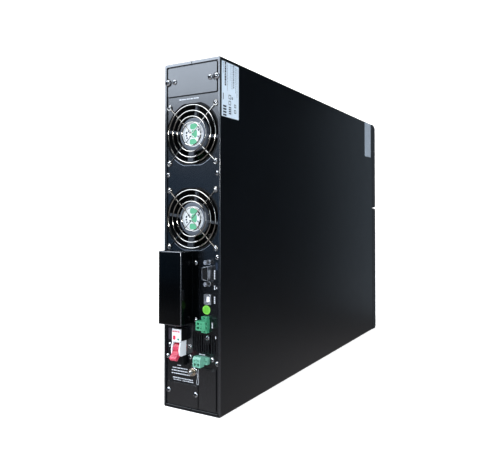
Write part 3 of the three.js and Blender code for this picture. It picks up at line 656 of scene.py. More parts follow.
def build_case():
    paint_rim_highlight(piece("case_base_shell", half_shell(False), SIDE, ["base_shell"]))
    paint_rim_highlight(piece("case_cover_shell", half_shell(True), SIDE, ["cover_shell"]))
    piece("plate_gap_shade", plate_gap_shade(), BLACK)
    piece("rear_panel_sheet", rear_panel(), PANEL, ["rear_panel"], bevel=0.42, edge=EDGE_HIGHLIGHT)
    for name, top in FAN_TOPS.items():
        piece(f"fan_{name}_opening_lip", fan_hole_lip(top), LIP_HIGHLIGHT)
    piece("parallel_cover_plate", parallel_cover(), PLATE, ["parallel_port_cover"], bevel=0.42, edge=EDGE_HIGHLIGHT)
    piece("lower_cover_plate", lower_cover(), PLATE, ["lower_blank_cover"], bevel=0.42)
    piece("slot_cover_plate", slot_cover(), PLATE, ["slot_cover"], bevel=0.42)
    box = piece("terminal_cover_box", terminal_cover(), COVER, ["terminal_cover"], bevel=0.3, edge=EDGE_HIGHLIGHT)
    paint_bend_highlights(box)
    piece("terminal_block_body", terminal_block(), BLACK, ["terminal_block"], bevel=0.3)


# ---- screws ----


RECESS_ARM, RECESS_DEPTH = 0.66, 0.55


@drawing
def screw_head(bm, radius, head_y, shank_end, turn):
    """A pan-head screw at the origin with a cross recess, its shank pointing inwards."""
    bearing = head_y + radius * 0.7
    dome = [(radius * math.sin(a), head_y + radius * 0.52 * (1 - math.cos(a)) / (1 - math.cos(1.35)))
            for a in (0, 0.25, 0.5, 0.75, 1.0, 1.2, 1.35)]
    scale = radius / dome[-1][0]
    profile = [(r * scale, y) for r, y in dome]
    profile += [(radius, bearing - 0.1), (radius * 0.97, bearing), (radius * 0.45, bearing),
                (radius * 0.45, shank_end), (0, shank_end)]
    lathe(bm, profile, (0, 0), steps=28)
    cutter = bmesh.new()
    arm, half = radius * RECESS_ARM, radius * 0.2
    for k in (0, 1):
        size = (arm, half) if k else (half, arm)
        box(cutter, -size[0], size[0], head_y - 1, head_y + radius * RECESS_DEPTH, -size[1], size[1])
    turned(cutter, cutter.verts, turn, (0, 0, 0))
    return carve(bm, cutter)


def put_screw(name, x, z, radius, head_y, shank_end, turn, nodes=()):
    bm = screw_head(radius, head_y, shank_end, turn)
    bmesh.ops.translate(bm, vec=(x, 0, z), verts=bm.verts)
    screw = piece(name, bm, ZINC, nodes)
    screw.data.materials.append(RECESS_SHADE)
    # Faces inside the cross recess get the dark recess look: painted shade in the recess.
    middle = REAR @ Vector((x, head_y, z))
    for face in screw.data.polygons:
        away = (face.center - middle) / MM
        near = math.hypot(away.x, away.z) < radius * (RECESS_ARM + 0.04)
        floor = abs(away.y) > radius * (RECESS_DEPTH - 0.02)
        if near and abs(away.y) < radius * (RECESS_DEPTH + 0.02) and (floor or abs(face.normal.y) < 0.1):
            face.material_index = 1


# Panel screws: x and distance from the top.
PANEL_SCREWS = [(5.2, 142.5), (81.2, 142.5), (81.2, 245), (66.7, 344), (40.2, 357.5), (8.7, 359),
                (40.7, 370.5), (5.4, 373.5), (73.7, 370), (81.2, 374), (45.2, 380)]


def build_screws():
    for kind, places, radius, head_y in CAD_SCREWS:
        for i, (x, top) in enumerate(places):
            node = f"{kind}_{i + 1}"
            put_screw(f"{node}_head", x, from_top(top), radius, head_y, 6, 20 + 37 * i + x, [node])
    for i, (x, top) in enumerate(PANEL_SCREWS):
        put_screw(f"panel_screw_{i + 1}", x, from_top(top), 3.1, -0.3, 5, 25 + 41 * i)


# ---- fans ----

FAN_FRONT = PANEL_Y + SHEET + GAP
FAN_END = FAN_FRONT + 38
HUB_R, BORE_R = 21, 38
RING_Y, SPOKE_Y, WIRE = -0.5, 0.75, 0.75


@drawing
def fan_frame(bm, cz):
    """Square housing with a round bore, waisted between its flanges."""
    half = 39.8
    holes = [circle(MID + a * FAN_REACH, cz + b * FAN_REACH, 2.1, 12) for a in (-1, 1) for b in (-1, 1)]
    bore = circle(MID, cz, BORE_R, 72)
    outer = rounded(MID - half, MID + half, cz - half, cz + half, 4)
    for y0, y1 in ((FAN_FRONT, FAN_FRONT + 4.5), (FAN_END - 4.5, FAN_END)):
        plate(bm, outer, [bore, *holes], y0, y1)
    plate(bm, circle(MID, cz, BORE_R + 1.5, 72), [bore], FAN_FRONT + 4.4, FAN_END - 4.4)


@drawing
def fan_struts(bm, cz):
    """Four slanted struts from the hub to the housing; the wide one carries the fan's wires."""
    for i, wide in enumerate((1.7, 4.2, 1.7, 1.7)):
        strut = bmesh.new()
        section = [(-wide, FAN_FRONT + 0.3), (wide, FAN_FRONT + 0.3), (wide - 0.5, FAN_FRONT + 4.6),
                   (-wide - 0.5, FAN_FRONT + 4.6)]
        skin(strut, [[(MID + r, y, cz + z) for z, y in section] for r in (HUB_R - 2, BORE_R + 0.5)])
        turned(strut, strut.verts, 90 * i + 8, (MID, 0, cz))
        add(bm, strut)


def add(bm, other):
    """Adds another shape's faces to bm."""
    mesh = bpy.data.meshes.new("part")
    other.to_mesh(mesh)
    other.free()
    bm.from_mesh(mesh)
    bpy.data.meshes.remove(mesh)


@drawing
def fan_hub(bm, cz):
    """The static hub: a shallow cup with a raised ring around the place for its label."""
    front = FAN_FRONT - 0.4
    lathe(bm, [(0, front + 0.7), (16.6, front + 0.7), (16.9, front), (19.4, front), (20.6, front + 0.7),
               (HUB_R, front + 1.8), (HUB_R, FAN_FRONT + 6), (0, FAN_FRONT + 6)], (MID, cz), steps=64)


def blade(index, cz):
    """One curved blade, lofted from the hub to the tip as its pitch falls off."""
    root, tip, stations = 18.5, 35, 7
    centre_y = FAN_FRONT + 6 + 13.5
    rings = []
    for s in range(stations + 1):
        reach = s / stations
        pitch = math.radians(48 - 20 * reach)
        chord = 8.8 * (0.95 + 0.5 * reach)
        upper = [(u, 0.9 - 1.3 * u * u) for u in (-1, -0.6, -0.2, 0.2, 0.6, 1)]
        lower = [(u, -0.3 - 1.1 * u * u) for u in (0.95, 0.5, 0, -0.5, -0.95)]
        ring = []
        for u, thick in upper + lower:
            across = u * chord
            ring.append((across * math.cos(pitch) - thick * math.sin(pitch),
                         centre_y + across * math.sin(pitch) + thick * math.cos(pitch),
                         root + (tip - root) * reach))
        rings.append(ring)
    part = bmesh.new()
    skin(part, rings)
    turned(part, part.verts, 360 / BLADES * index + 6.3, (0, 0, 0))
    bmesh.ops.translate(part, vec=(MID, 0, cz), verts=part.verts)
    return part


@drawing
def fan_rotor(bm, cz):
    hub_y = FAN_FRONT + 6 + 2 * GAP
    lathe(bm, [(0, hub_y), (19, hub_y), (20, hub_y + 1), (20, hub_y + 25.4), (0, hub_y + 25.4)],
          (MID, cz), steps=48)
    for i in range(BLADES):
        add(bm, blade(i, cz))


def spoke(bm, cz, side, tip, shoulder):
    """One guard wire: in from a corner eyelet, round a bend near the centre, and out again."""
    corner = FAN_REACH - 2.2
    bend = tip + shoulder * 0.62
    half = [(corner, corner), (shoulder + 6, shoulder + 6 + tip * 0.4), (shoulder, bend + 0.6),
            (shoulder * 0.6, tip + shoulder * 0.3), (shoulder * 0.25, tip + 0.12)]
    path = [(-x, z) for x, z in half] + [(0, tip)] + list(reversed(half))
    tube(bm, [(MID + x, SPOKE_Y, cz + side * z) for x, z in path], WIRE * 0.72, 10)


@drawing
def fan_guard(bm, cz):
    for radius in (36.4, 29.2, 22, 14.6):
        tube(bm, [(u, RING_Y, v) for u, v in circle(MID, cz, radius, 96)], WIRE, 10, closed=True)
    spoke(bm, cz, 1, 0.9, 3)
    spoke(bm, cz, -1, 2.6, 4.5)
    for a in (-1, 1):
        for b in (-1, 1):
            eye = circle(MID + a * FAN_REACH, cz + b * FAN_REACH, 3, 24)
            tube(bm, [(u, SPOKE_Y, v) for u, v in eye], WIRE * 0.72, 8, closed=True)


def blob(bm, x, z, width, height, y0, y1, turn=0.0):
    """A soft-cornered printed patch, centred on x and z."""
    part = bmesh.new()
    radius = min(width, height) * 0.35
    prism(part, rounded(x - width / 2, x + width / 2, z - height / 2, z + height / 2, radius), y0, y1)
    turned(part, part.verts, turn, (x, 0, z))
    add(bm, part)


def hub_marks(name, cz):
    """A plain round label on the hub with three green patches and dark curved marks."""
    face = FAN_FRONT + 0.3
    film = circle(MID, cz, 15.8, 64)
    piece(f"fan_{name}_label", single(prism, film, face - 0.12, face + 0.1), HUB_LABEL)
    green = bmesh.new()
    for x, z, width, height in ((0.8, 9.8, 11, 7), (1.6, 0.6, 8.4, 10.4), (0, -9.6, 10.5, 7.4)):
        blob(green, MID + x, cz + z, width, height, face - 0.2, face - 0.1)
    piece(f"fan_{name}_label_patches", green, HUB_GREEN)
    dark = bmesh.new()
    arcs = [(-42, -6, 13, 2.8), (2, 18, 13.2, 2.8), (26, 52, 13, 2.2), (160, 174, 11.8, 2.4),
            (181, 192, 11.8, 2.4), (199, 210, 11.6, 2.2), (0, 179, 14.6, 0.4), (181, 359, 14.6, 0.4)]
    for start, end, radius, width in arcs:
        steps = max(4, int((end - start) / 6))
        band = [*arc(MID, cz, radius, start, end, steps), *arc(MID, cz, radius - width, end, start, steps)]
        prism(dark, band, face - 0.2, face - 0.1)
    for x, z in ((7.6, -3.4), (8, 4.8), (-4.8, 2.2), (-4.4, -2.4), (-7, 4.4)):
        blob(dark, MID + x, cz + z, 1.6, 2.8, face - 0.22, face - 0.1, 20 * x)
    piece(f"fan_{name}_label_marks", dark, LABEL_MARK)


def build_fans():
    for name, top in FAN_TOPS.items():
        cz = from_top(top)
        piece(f"fan_{name}_housing", fan_frame(cz), BLACK, [f"fan_{name}_frame"], bevel=0.25)
        piece(f"fan_{name}_hub", fan_hub(cz), HUB)
        piece(f"fan_{name}_struts", fan_struts(cz), STRUT, bevel=0.3)
        piece(f"fan_{name}_impeller", fan_rotor(cz), BLACK, [f"fan_{name}_rotor"],
              body=f"{name}_rotor")
        piece(f"fan_{name}_finger_guard", fan_guard(cz), NICKEL, [f"fan_{name}_guard"])
        hub_marks(name, cz)
        for i, (a, b) in enumerate(((-1, 1), (1, 1), (-1, -1), (1, -1))):
            put_screw(f"fan_{name}_screw_{i + 1}", MID + a * FAN_REACH, cz + b * FAN_REACH, 2.5, -1.2, 9,
                      15 + 33 * i)


# ---- breaker ----

LEVER_PIVOT = (-3, from_top(360))
FACE_X = (21.5, 35)


@drawing
def breaker_case(bm):
    block(bm, 19.4, 36.9, FAN_FRONT, 66, 326, 398)
    block(bm, 21.7, 34.8, -8.6, 8, 335.4, 349.5)
    block(bm, 21.7, 34.8, -4.5, 8, 369.4, 380.4)
    cutter = bmesh.new()
    prism(cutter, circle(*LEVER_PIVOT, 9, 40), 20, 38, "x")
    block(cutter, 18, 39, -12, 1.5, 350, 369.1)
    return carve(bm, cutter)


@drawing
def breaker_face(bm):
    """White front: a label plate above, and two cheeks that the lever swings between."""
    block(bm, *FACE_X, -10.8, -9, 335, 351.4)
    cheek = [(y, from_top(top)) for y, top in (
        (1.2, 368.4), (-8.6, 368.6), (-11.2, 367.6), (-12.4, 366), (-12.8, 360), (-12.2, 356),
        (-10.8, 353.4), (-10.8, 350.2), (1.2, 350.2))]
    for x0, x1 in ((FACE_X[0], 23.1), (33.4, FACE_X[1])):
        prism(bm, cheek, x0, x1, "x")
    block(bm, 23, 33.5, -10.8, -9.2, 350.2, 351.2)


@drawing
def breaker_lever(bm):
    """A drum with a ribbed, dished handle that points outwards and down."""
    y, z = LEVER_PIVOT
    outline = [(0, -3.4), (0, 3.4), (-9, 3.2), (-13, 2.4), (-17.2, 2), (-18.1, 1.5), (-18.4, 0.8),
               (-18.4, -1.8), (-18, -3), (-17.2, -3.5), (-13, -2.9), (-9, -2.6)]
    prism(bm, circle(0, 0, 8.2, 48), 23.25, 33.25, "x")
    prism(bm, outline, 23.25, 33.25, "x")
    for i in range(3):
        reach, top = -11.2 - 2.1 * i, 3.15 - 0.15 * i
        rib = [(reach - 0.5, 2), (reach + 0.5, 2), (reach + 0.3, top), (reach - 0.3, top)]
        prism(bm, rib, 24, 32.5, "x")
    turned(bm, bm.verts, 37, (0, 0, 0), "X")
    bmesh.ops.translate(bm, vec=(0, y, z), verts=bm.verts)


def breaker_marks():
    """Plain coloured patches on the label plate: no lettering."""
    face = -10.8
    red, green = bmesh.new(), bmesh.new()
    for i in range(4):
        blob(red, 23.6 + 2.9 * i, from_top(338.2), 2.2, 1.9, face - 0.06, face + 0.02)
    prism(red, window(23.2, 27.2, 343.4, 348.6, 1.2), face - 0.06, face + 0.02)
    blob(green, 31.4, from_top(347.6), 3, 2.4, face - 0.06, face + 0.02)
    piece("breaker_red_marks", red, RED_MARK)
    piece("breaker_green_mark", green, GREEN_MARK)


def build_breaker():
    piece("breaker_housing", breaker_case(), BLACK, ["breaker_case"], bevel=0.25)
    piece("breaker_front", breaker_face(), WHITE, ["breaker_face"], bevel=0.3)
    lever = piece("breaker_handle", breaker_lever(), RED, ["breaker_lever"], body="lever", bevel=0.4)
    lever.data.materials.append(LEVER_TIP_HIGHLIGHT)
    # The faces of the handle's outer end get the lighter pink look: a painted highlight on the red lever.
    tip = [p for p in lever.data.polygons if p.center.y > RIM_Y + 10.5 * MM]
    for face in tip:
        face.material_index = 1
    breaker_marks()


# ---- connectors ----

SERIAL_Y = -6.8


@drawing
def serial_flange(bm):
    hole = [circle(x, z, 1.6, 14) for x, z in JACKS]
    plate(bm, window(62.2, 74.6, 248.4, 281, 1), [serial_outline(-0.4), *hole], 3.4, 4.4)
    for x, z in JACKS:
        plate(bm, circle(x, z, 2.8, 6), [circle(x, z, 1.35, 18)], -6.3, -2.4)
        prism(bm, circle(x, z, 1.9, 18), -3, 4)


@drawing
def serial_insert(bm):
    """Insulator with nine contact holes in two rows."""
    middle = (from_top(SERIAL["top"]) + from_top(SERIAL["bottom"])) / 2
    rows = [(69.9, 5), (67, 4)]
    pitch = 2.76
    holes = [circle(x, middle + (i - (count - 1) / 2) * pitch, 0.55, 12)
             for x, count in rows for i in range(count)]
    plate(bm, serial_outline(-0.9), holes, SERIAL_Y + 0.7, 12)


@drawing
def usb_shell(bm):
    plate(bm, window(61.8, 72.3, 290.8, 303.2, 0.9), [window(62.5, 71.6, 291.5, 302.5, 0.7)], 0.6, 17)
    block(bm, 62.2, 71.9, 15.6, 17, 291.2, 302.8)


@drawing
def usb_tongue(bm):
    block(bm, 65, 69.8, 1.8, 15.4, 293.8, 300.2)
    block(bm, 62.6, 71.5, 9, 15.5, 291.6, 302.4)


def socket_space(place):
    """Local frame of a pluggable terminal: poles along X, wires below."""
    spin = Matrix.Rotation(math.radians(90 if place["upright"] else 0), 4, "Y")
    return REAR @ Matrix.Translation((place["x"], 0, place["z"])) @ spin


@drawing
def header(bm):
    pocket = rounded(-5.2, 5.2, -3.5, 3.5, 0.4, 2)
    plate(bm, rounded(-10, 10, -4.2, 4.2, 0.6, 3), [pocket, circle(-8.2, 0, 1, 12), circle(8.2, 0, 1, 12)],
          -4, 1.4)
    plate(bm, rounded(-5.9, 5.9, -4.15, 4.15, 0.4, 2), [pocket], 1.4, 11)
    box(bm, -5.4, 5.4, 8, 11, -3.7, 3.7)


@drawing
def plug(bm):
    """Two-way plug: a wire hole low on its face and a clamp screw above it, for each pole."""
    prism(bm, [(-12.6, -6.4), (-4.3, -6.4), (-4.3, 6), (-10.8, 6), (-12.6, 3.6)], -5.6, 5.6, "x")
    box(bm, -4.8, 4.8, -5, 6, -3.1, 3.1)
    cutter = bmesh.new()
    for x in (-2.54, 2.54):
        prism(cutter, rounded(x - 1.35, x + 1.35, -4.9, -1.4, 0.5, 3), -14, -6.6)
        prism(cutter, circle(x, -7.4, 1.55, 18), 4.2, 8, "z")
        prism(cutter, rounded(x - 1.1, x + 1.1, 0.8, 2.6, 0.4, 2), -14, -11.4)
    box(cutter, -0.25, 0.25, -14, -5.4, -7, -5.9)
    box(cutter, -0.25, 0.25, -14, -12.1, -7, 7)
    return carve(bm, cutter)


@drawing
def clamp_screws(bm):
    for x in (-2.54, 2.54):
        lathe(bm, [(0, 4.4), (1.3, 4.4), (1.45, 4.7), (1.45, 5.1), (0, 5.2)], (x, -7.4), "z", 18)


@drawing
def ground_stud(bm):
    x, z = GROUND
    lathe(bm, [(0, -8.4), (1.7, -8.4), (2.35, -7.8), (2.35, -0.6), (4.8, PLATE_Y), (4.8, 1.6), (2.4, 1.7),
               (2.4, 14), (0, 14)], (x, z), steps=32)
    prism(bm, circle(x, z, 4.2, 6), -1, PLATE_Y + 0.1)
    for i in range(5):
        ring = [(u, -7.6 + 0.35 * i, v) for u, v in circle(x, z, 2.35, 24)]
        tube(bm, ring, 0.12, 6, closed=True)


@drawing
def ground_nut(bm):
    x, z = GROUND
    plate(bm, circle(x, z, 4.9, 40), [circle(x, z, 2.75, 24)], -3.4, -1.3)
    plate(bm, circle(x, z, 4.2, 6), [circle(x, z, 2.75, 24)], -6.4, -3.4)


def build_connectors():
    tube_wall = single(plate, serial_outline(0), [serial_outline(-0.5)], SERIAL_Y, 4)
    piece("serial_shell_tube", tube_wall, TIN, ["serial_port_shell"], bevel=0.12)
    piece("serial_flange_jacks", serial_flange(), TIN, bevel=0.15)
    piece("serial_insulator", serial_insert(), BLACK, ["serial_port_insert"], bevel=0.1)
    piece("usb_shell_tube", usb_shell(), TIN, ["usb_port_shell"], bevel=0.12)
    piece("usb_tongue_block", usb_tongue(), WHITE, ["usb_port_tongue"], bevel=0.2)
    for name, place, look in (("epo", EPO, GREEN), ("dry_contact", DRY, MINT)):
        space, body = socket_space(place), f"{name}_plug"
        piece(f"{name}_header_body", header(), look, [f"{name}_header"], space=space, bevel=0.2)
        piece(f"{name}_plug_body", plug(), look, [body], body=body, space=space, bevel=0.2)
        piece(f"{name}_clamp_screws", clamp_screws(), ZINC, body=body, space=space)
    piece("ground_stud_turned", ground_stud(), ZINC, ["ground_stud"], bevel=0.15)
    piece("ground_nut_hex", ground_nut(), BRASS, ["ground_nut"], bevel=0.2)


# ---- printed marks and labels ----


PRINT_Y = (PANEL_Y - 0.06, PANEL_Y + 0.02)
FILM_OUT, INK_OUT = (-0.02, 0.06), (0.04, 0.09)
# How bars vary: a multiplier, an addend and a modulus, then the shortest bar, its growth and the rest left.
LINE, COLUMN, LABEL_ROW = (7, 3, 11, 1.2, 0.28, 0.8), (5, 4, 9, 1.1, 0.25, 0.7), (7, 5, 10, 0.9, 0.22, 0)


def bars(start, stop, seed, gap, rule):
    """The ends of short bars of uneven length, which stand for small print."""
    times, plus, modulus, shortest, growth, rest = rule
    place, step = start, seed
    while place < stop - rest:
        step = (step * times + plus) % modulus
        end = min(place + shortest + growth * step, stop)
        yield place, end
        place = end + gap


def dashes(bm, x0, x1, top, height, seed, gap=0.7):
    for x, end in bars(x0, x1, seed, gap, LINE):
        block(bm, x, end, *PRINT_Y, top - height / 2, top + height / 2)


def upright_dashes(bm, x, top0, top1, width, seed, gap):
    for top, end in bars(top0, top1, seed, gap, COLUMN):
        block(bm, x - width / 2, x + width / 2, *PRINT_Y, top, end)


@drawing
def panel_marks(bm):
    dashes(bm, 22.5, 52.5, 47.2, 1.2, 4, 0.8)
    for x, top0, top1, width in ((77, 261, 272.5, 1.7), (77, 279.5, 284.5, 1.7), (80, 281, 284, 1),
                                 (77, 293, 301.5, 1.7), (73.6, 325, 332, 1.8), (78.6, 341, 344, 1.2)):
        upright_dashes(bm, x, top0, top1, width, int(top0) % 9, 0.45)
    dashes(bm, 54, 63, 365.4, 1.5, 2, 0.4)
    dashes(bm, 20.5, 26, 383.4, 0.9, 6, 0.4)
    lines = [(13, 37.5, 387, 1.1, 3), (11.5, 37.5, 390.4, 1.2, 8), (11.5, 40.5, 394, 1.1, 5),
             (13.5, 44.5, 399.4, 1.1, 7), (14, 26, 402, 0.7, 2), (29, 45, 402, 0.9, 9)]
    for line in lines:
        dashes(bm, *line)


@drawing
def bracket_mark(bm):
    """A thin bracket beside the accessory slot."""
    for x0, x1, top, bottom in ((52.9, 53.4, 384, 403.6), (50.4, 53.4, 403.1, 403.6),
                                (50.4, 50.9, 397, 403.6), (50.4, 53.4, 397, 397.4)):
        block(bm, x0, x1, *PRINT_Y, top, bottom)
    upright_dashes(bm, 51.6, 386, 396, 0.9, 3, 0.5)


def sticker():
    """A round inspection sticker with a pale rim and two darker bands."""
    x, z, y = 65, from_top(310), PANEL_Y
    bands = bmesh.new()
    for dx in (-1.3, 1.1):
        prism(bands, rounded(x + dx - 0.55, x + dx + 0.55, z - 2.7, z + 2.5, 0.45), y - 0.14, y - 0.05)
    piece("sticker_rim", single(prism, circle(x, z, 5.6, 48), y - 0.08, y + 0.02), LIME_RIM)
    piece("sticker_middle", single(prism, circle(x, z, 4.6, 48), y - 0.11, y), LIME)
    piece("sticker_bands", bands, LIME_DARK)


def side_slab(bm, deep0, deep1, top0, top1, out0, out1, radius=0.0):
    """A slab on the cover shell's large side, by its distance in from the rim and from the top."""
    x0, x1 = WIDTH - LABEL_ROOM + out0, WIDTH - LABEL_ROOM + out1
    y0, y1, z0, z1 = deep0, deep1, from_top(top1), from_top(top0)
    outline = rounded(y0, y1, z0, z1, radius) if radius else [(y0, z0), (y1, z0), (y1, z1), (y0, z1)]
    prism(bm, outline, x0, x1, "x")


def rating_label():
    """The rating label: plain film with rows of small bars and a few blocks, all turned sideways."""
    marks = bmesh.new()
    rows = [(6, 6, 20, 0.6), (9.5, 5, 34, 3.4), (15.5, 6, 40, 0.7), (22, 6, 26, 0.5), (26, 6, 36, 0.8),
            (29.5, 5, 34, 1.8), (34.5, 7, 40, 0.7), (37.8, 8, 44, 0.7)]
    for deep, top0, top1, width in rows:
        for top, end in bars(top0, top1, int(deep), 0.55, LABEL_ROW):
            side_slab(marks, deep, deep + width, top, end, *INK_OUT)
    blocks = [(5.6, 44, 1.5, 8), *((19, top, 5.5, 1.6) for top in (59, 61.5, 64, 66.5)),
              *((6, top, 7.5, 2.2) for top in (58.6, 62.2, 65.8, 69.4))]
    for deep, top, width, height in blocks:
        side_slab(marks, deep, deep + width, top, top + height, *INK_OUT)
    ink = [WIDTH - LABEL_ROOM + out for out in INK_OUT]
    squares = [(18.5, 44, 5.4), (18.5, 51.5, 5.4), (31.5, 54, 4.4), (31.5, 61, 4.4), (25.5, 46, 3)]
    for deep, top, size in squares:
        low, high = from_top(top + size), from_top(top)
        inner = rounded(deep + 0.9, deep + size - 0.9, low + 0.9, high - 0.9, 0.3, 2)
        plate(marks, rounded(deep, deep + size, low, high, 0.5, 2), [inner], *ink, "x")
    piece("rating_label_film", single(side_slab, 3, 42.4, 4.6, 72.6, *FILM_OUT, 1), LABEL)
    piece("rating_label_marks", marks, LABEL_MARK)


def build_marks():
    piece("panel_print", panel_marks(), INK)
    piece("slot_bracket_print", bracket_mark(), INK)
    sticker()
    mark_y = PANEL_Y - 0.05, PRINT_Y[1]
    piece("blue_print", single(prism, window(78.6, 81.6, 251.5, 260.5, 0.6), *mark_y), BLUE_MARK)
    piece("dark_strip_label", single(prism, window(6.2, 10, 338, 352.5, 0.5), *mark_y), DARK_STRIP)
    rating_label()
    piece("side_plain_label", single(side_slab, 541, 580, 1.5, 72, *FILM_OUT, 1), FAR_LABEL)


# ---- front ----

BEZEL_DEPTH, BEZEL_WALL, NOTCH = 21.7, 2.4, 259
DISPLAY_Z, DISPLAY_R = 352, 34


def upper_outline(inset):
    shoulder = [(17 + (inset - 17) * t - 3 * 4 * t * (1 - t) * 0.6, HEIGHT - inset - 7 * t * t)
                for t in [i / 8 for i in range(1, 9)]]
    return [(BEZEL_DEPTH + inset, NOTCH + 0.15 + inset), (BEZEL_DEPTH + inset, HEIGHT - inset),
            (17, HEIGHT - inset), *shoulder, (inset, NOTCH + 2.2 + inset), (17, NOTCH + 0.3 + inset)]


def lower_outline(inset):
    corner = 7
    bend = arc(inset + corner, inset + corner, corner, 180, 270, 8)
    back = BEZEL_DEPTH + inset
    return [(back, inset), (back, NOTCH - 0.15 - inset), (17, NOTCH - 0.3 - inset),
            (inset, NOTCH - 2.2 - inset), *bend]


def moulding(outline):
    bm, hollow = bmesh.new(), bmesh.new()
    prism(bm, outline(0), 0, WIDTH, "x")
    prism(hollow, outline(BEZEL_WALL), BEZEL_WALL, WIDTH - BEZEL_WALL, "x")
    return bm, hollow


def upper_bezel():
    bm, cutter = moulding(upper_outline)
    prism(cutter, circle(MID, DISPLAY_Z, DISPLAY_R + 0.5, 72), -2, BEZEL_WALL + 2)
    return carve(bm, cutter)


def lower_bezel():
    bm, cutter = moulding(lower_outline)
    for i in range(27):
        z = 20 + 8.4 * i
        if z < 240:
            prism(cutter, rounded(10, WIDTH - 10, z, z + 4.6, 1.6, 4), -1, BEZEL_WALL + 1)
    return carve(bm, cutter)


BUTTONS = ["up", "down", "escape", "enter"]
DISPLAY = FRONT @ Matrix.Translation((MID, 0, DISPLAY_Z))


def button_x(index):
    return (index - 1.5) * 11


@drawing
def display_housing(bm):
    holes = [rounded(-21, 21, -5, 21, 1.2)]
    holes += [rounded(button_x(i) - 4.3, button_x(i) + 4.3, -18.7, -12.3, 1.4) for i in range(4)]
    plate(bm, circle(0, 0, DISPLAY_R, 96), holes, 0.8, 3.2)
    plate(bm, circle(0, 0, DISPLAY_R, 96), [circle(0, 0, DISPLAY_R - 2.4, 96)], 3.2, 15)


@drawing
def display_icons(bm):
    """Generic pictures: a battery, two bar graphs, and a power path of boxes and lines."""
    y0, y1 = 3.4, 3.7
    plate(bm, rounded(-18, -9, 9, 17, 0.8), [rounded(-17.3, -9.7, 9.7, 16.3, 0.4)], y0, y1)
    box(bm, -9, -8.2, y0, y1, 11.5, 14.5)
    for i in range(3):
        box(bm, -16.6 + 2.4 * i, -14.9 + 2.4 * i, y0, y1, 10.4, 15.6)
    for i in range(5):
        box(bm, 8 + 2.2 * i, 9.4 + 2.2 * i, y0, y1, 9, 10.6 + 1.3 * i)
    for x in (-18, -5, 8):
        plate(bm, rounded(x, x + 9, -2, 5, 0.6), [rounded(x + 0.6, x + 8.4, -1.4, 4.4, 0.3)], y0, y1)
    for x in (-9, 4):
        box(bm, x, x + 4, y0, y1, 1.1, 1.7)
    plate(bm, circle(0, 13, 3.6, 32), [circle(0, 13, 3, 32)], y0, y1)


@drawing
def display_button(bm, index):
    x = button_x(index)
    prism(bm, rounded(x - 4, x + 4, -18.4, -12.6, 1.2), 0.2, 5)
    prism(bm, rounded(x - 4.9, x + 4.9, -19.3, -11.7, 1.4), 3.5, 4.6)
    prism(bm, circle(x, -15.5, 1.6, 16), 4, 6.5)


def build_front():
    piece("bezel_upper_moulding", upper_bezel(), BEZEL, ["upper_bezel"], space=FRONT, bevel=0.6,
          segments=3)
    piece("bezel_lower_moulding", lower_bezel(), BEZEL, ["lower_bezel"], space=FRONT, bevel=0.4)
    piece("display_ring", display_housing(), BEZEL, ["display_housing"], body="display",
          space=DISPLAY, bevel=0.35)
    piece("display_icons", display_icons(), ICON, body="display", space=DISPLAY)
    pane = single(prism, rounded(-20.7, 20.7, -4.7, 20.7, 1), 1, 2.8)
    piece("display_pane", pane, PANE, ["display_window"], body="display", space=DISPLAY, bevel=0.15)
    for i, name in enumerate(BUTTONS):
        piece(f"button_{name}_cap", display_button(i), RUBBER, [f"button_{name}"],
              body=f"button_{name}", space=DISPLAY, bevel=0.35)


# ---- studio ----

AIM = Vector((0, RIM_Y - 0.15, 0.22))


def softbox(name, direction, distance, size, radiance, colour=(1, 1, 1)):
    """A rectangular lamp that faces the object, by the brightness of its face."""
    lamp = bpy.data.lights.new(name, "AREA")
    lamp.shape, lamp.size, lamp.size_y = "RECTANGLE", *size
    lamp.energy = radiance * math.pi * size[0] * size[1]
    lamp.color = colour
    obj = linked(name, lamp)
    away = Vector(direction).normalized()
    obj.location = AIM + away * distance
    obj.rotation_euler = (-away).to_track_quat("-Z", "Y").to_euler()
    obj.visible_camera = False
    return obj


def glowing(name, colour, glow):
    """A pale matt surface with a little light of its own."""
    look = Look(name, colour, 0.9, specular=0.0)
    look.tint(look.noise(400), spread=0.01)
    look.shader.inputs["Emission Color"].default_value = (1, 1, 1, 1)
    look.shader.inputs["Emission Strength"].default_value = glow
    return look.material


def stage(name, bm, material):
    obj = loose(bm, name)
    obj.data.materials.append(material)
    obj.visible_glossy = False
    return obj


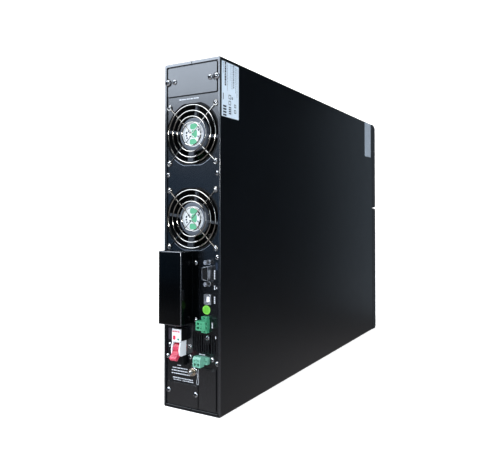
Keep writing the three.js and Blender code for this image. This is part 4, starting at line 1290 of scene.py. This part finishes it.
def build_studio():
    world = bpy.data.worlds.new("studio")
    bpy.context.scene.world = world
    world.use_nodes = True
    nodes, links = world.node_tree.nodes, world.node_tree.links
    direction, split = nodes.new("ShaderNodeTexCoord"), nodes.new("ShaderNodeSeparateXYZ")
    height, ramp = nodes.new("ShaderNodeMapRange"), nodes.new("ShaderNodeValToRGB")
    height.inputs["From Min"].default_value, height.inputs["From Max"].default_value = -0.5, 0.5
    links.new(direction.outputs["Generated"], split.inputs["Vector"])
    links.new(split.outputs["Z"], height.inputs["Value"])
    links.new(height.outputs["Result"], ramp.inputs["Fac"])
    links.new(ramp.outputs["Color"], nodes["Background"].inputs["Color"])
    stops = [(0.13, 0.42), (0.2, 0.3), (0.27, 0.06), (0.5, 0.035), (0.75, 0.025)]
    while len(ramp.color_ramp.elements) < len(stops):
        ramp.color_ramp.elements.new(0.5)
    for element, (place, grey) in zip(ramp.color_ramp.elements, stops):
        warmth = 1 if place < 0.3 else 0.85
        element.position, element.color = place, (grey * warmth, grey * 0.97, grey * (2 - warmth), 1)

    floor = bmesh.new()
    ring = [floor.verts.new((*p, 0)) for p in circle(0, 0, 8, 64)]
    floor.faces.new(ring)
    stage("floor", floor, glowing("floor_paint", (0.8, 0.8, 0.8), 0.66))

    dome = bmesh.new()
    bmesh.ops.create_uvsphere(dome, u_segments=48, v_segments=24, radius=9)
    backdrop = stage("backdrop", dome, glowing("backdrop_paint", (0.9, 0.9, 0.9), 1.1))
    backdrop.visible_diffuse = False
    backdrop.visible_shadow = False

    softbox("key_softbox", (0.56, 0.83, 0.68), 1.6, (1, 1.1), 6.4, (0.76, 0.86, 1))
    softbox("blue_card", (0.6, 0.8, 0.04), 1.7, (1, 0.5), 0.26, (0.15, 0.5, 1))
    softbox("rear_strip", (-0.08, 1, 0.14), 1.7, (0.5, 0.07), 46)
    softbox("edge_softbox", (-0.86, 0.5, 0.17), 1.8, (0.9, 1.3), 1.9, (0.72, 0.85, 1))
    softbox("far_softbox", (-0.16, -0.99, 0.05), 2.1, (1.2, 1.3), 0.24, (0.68, 0.84, 1))
    fill = softbox("fill_softbox", (-0.75, 0.55, 0.5), 1.5, (1, 1), 2.6, (0.95, 0.98, 1))
    fill.visible_glossy = False

    sun = bpy.data.lights.new("overhead", "SUN")
    sun.energy, sun.angle = 2.6, math.radians(70)
    linked("overhead", sun).rotation_euler = (math.radians(-14), math.radians(10), 0)


def build_camera():
    """The camera: behind the unit, off its -X side, about level with its middle."""
    camera = bpy.data.cameras.new("camera")
    camera.lens, camera.sensor_width = 39.1, 36
    camera.shift_y = -0.0402
    camera.clip_start, camera.clip_end = 0.02, 40
    obj = linked("camera", camera)
    obj.location = (-0.4060, RIM_Y + 0.5479, 0.2453)
    forward = Vector((0.5057, -0.8626, 0.0173))
    obj.rotation_euler = forward.to_track_quat("-Z", "Y").to_euler()
    bpy.context.scene.camera = obj
    bpy.context.scene.view_settings.view_transform = "Standard"


build_camera()
dress_cad_nodes()
build_case()
build_screws()
build_fans()
build_breaker()
build_connectors()
build_marks()
build_front()
build_studio()
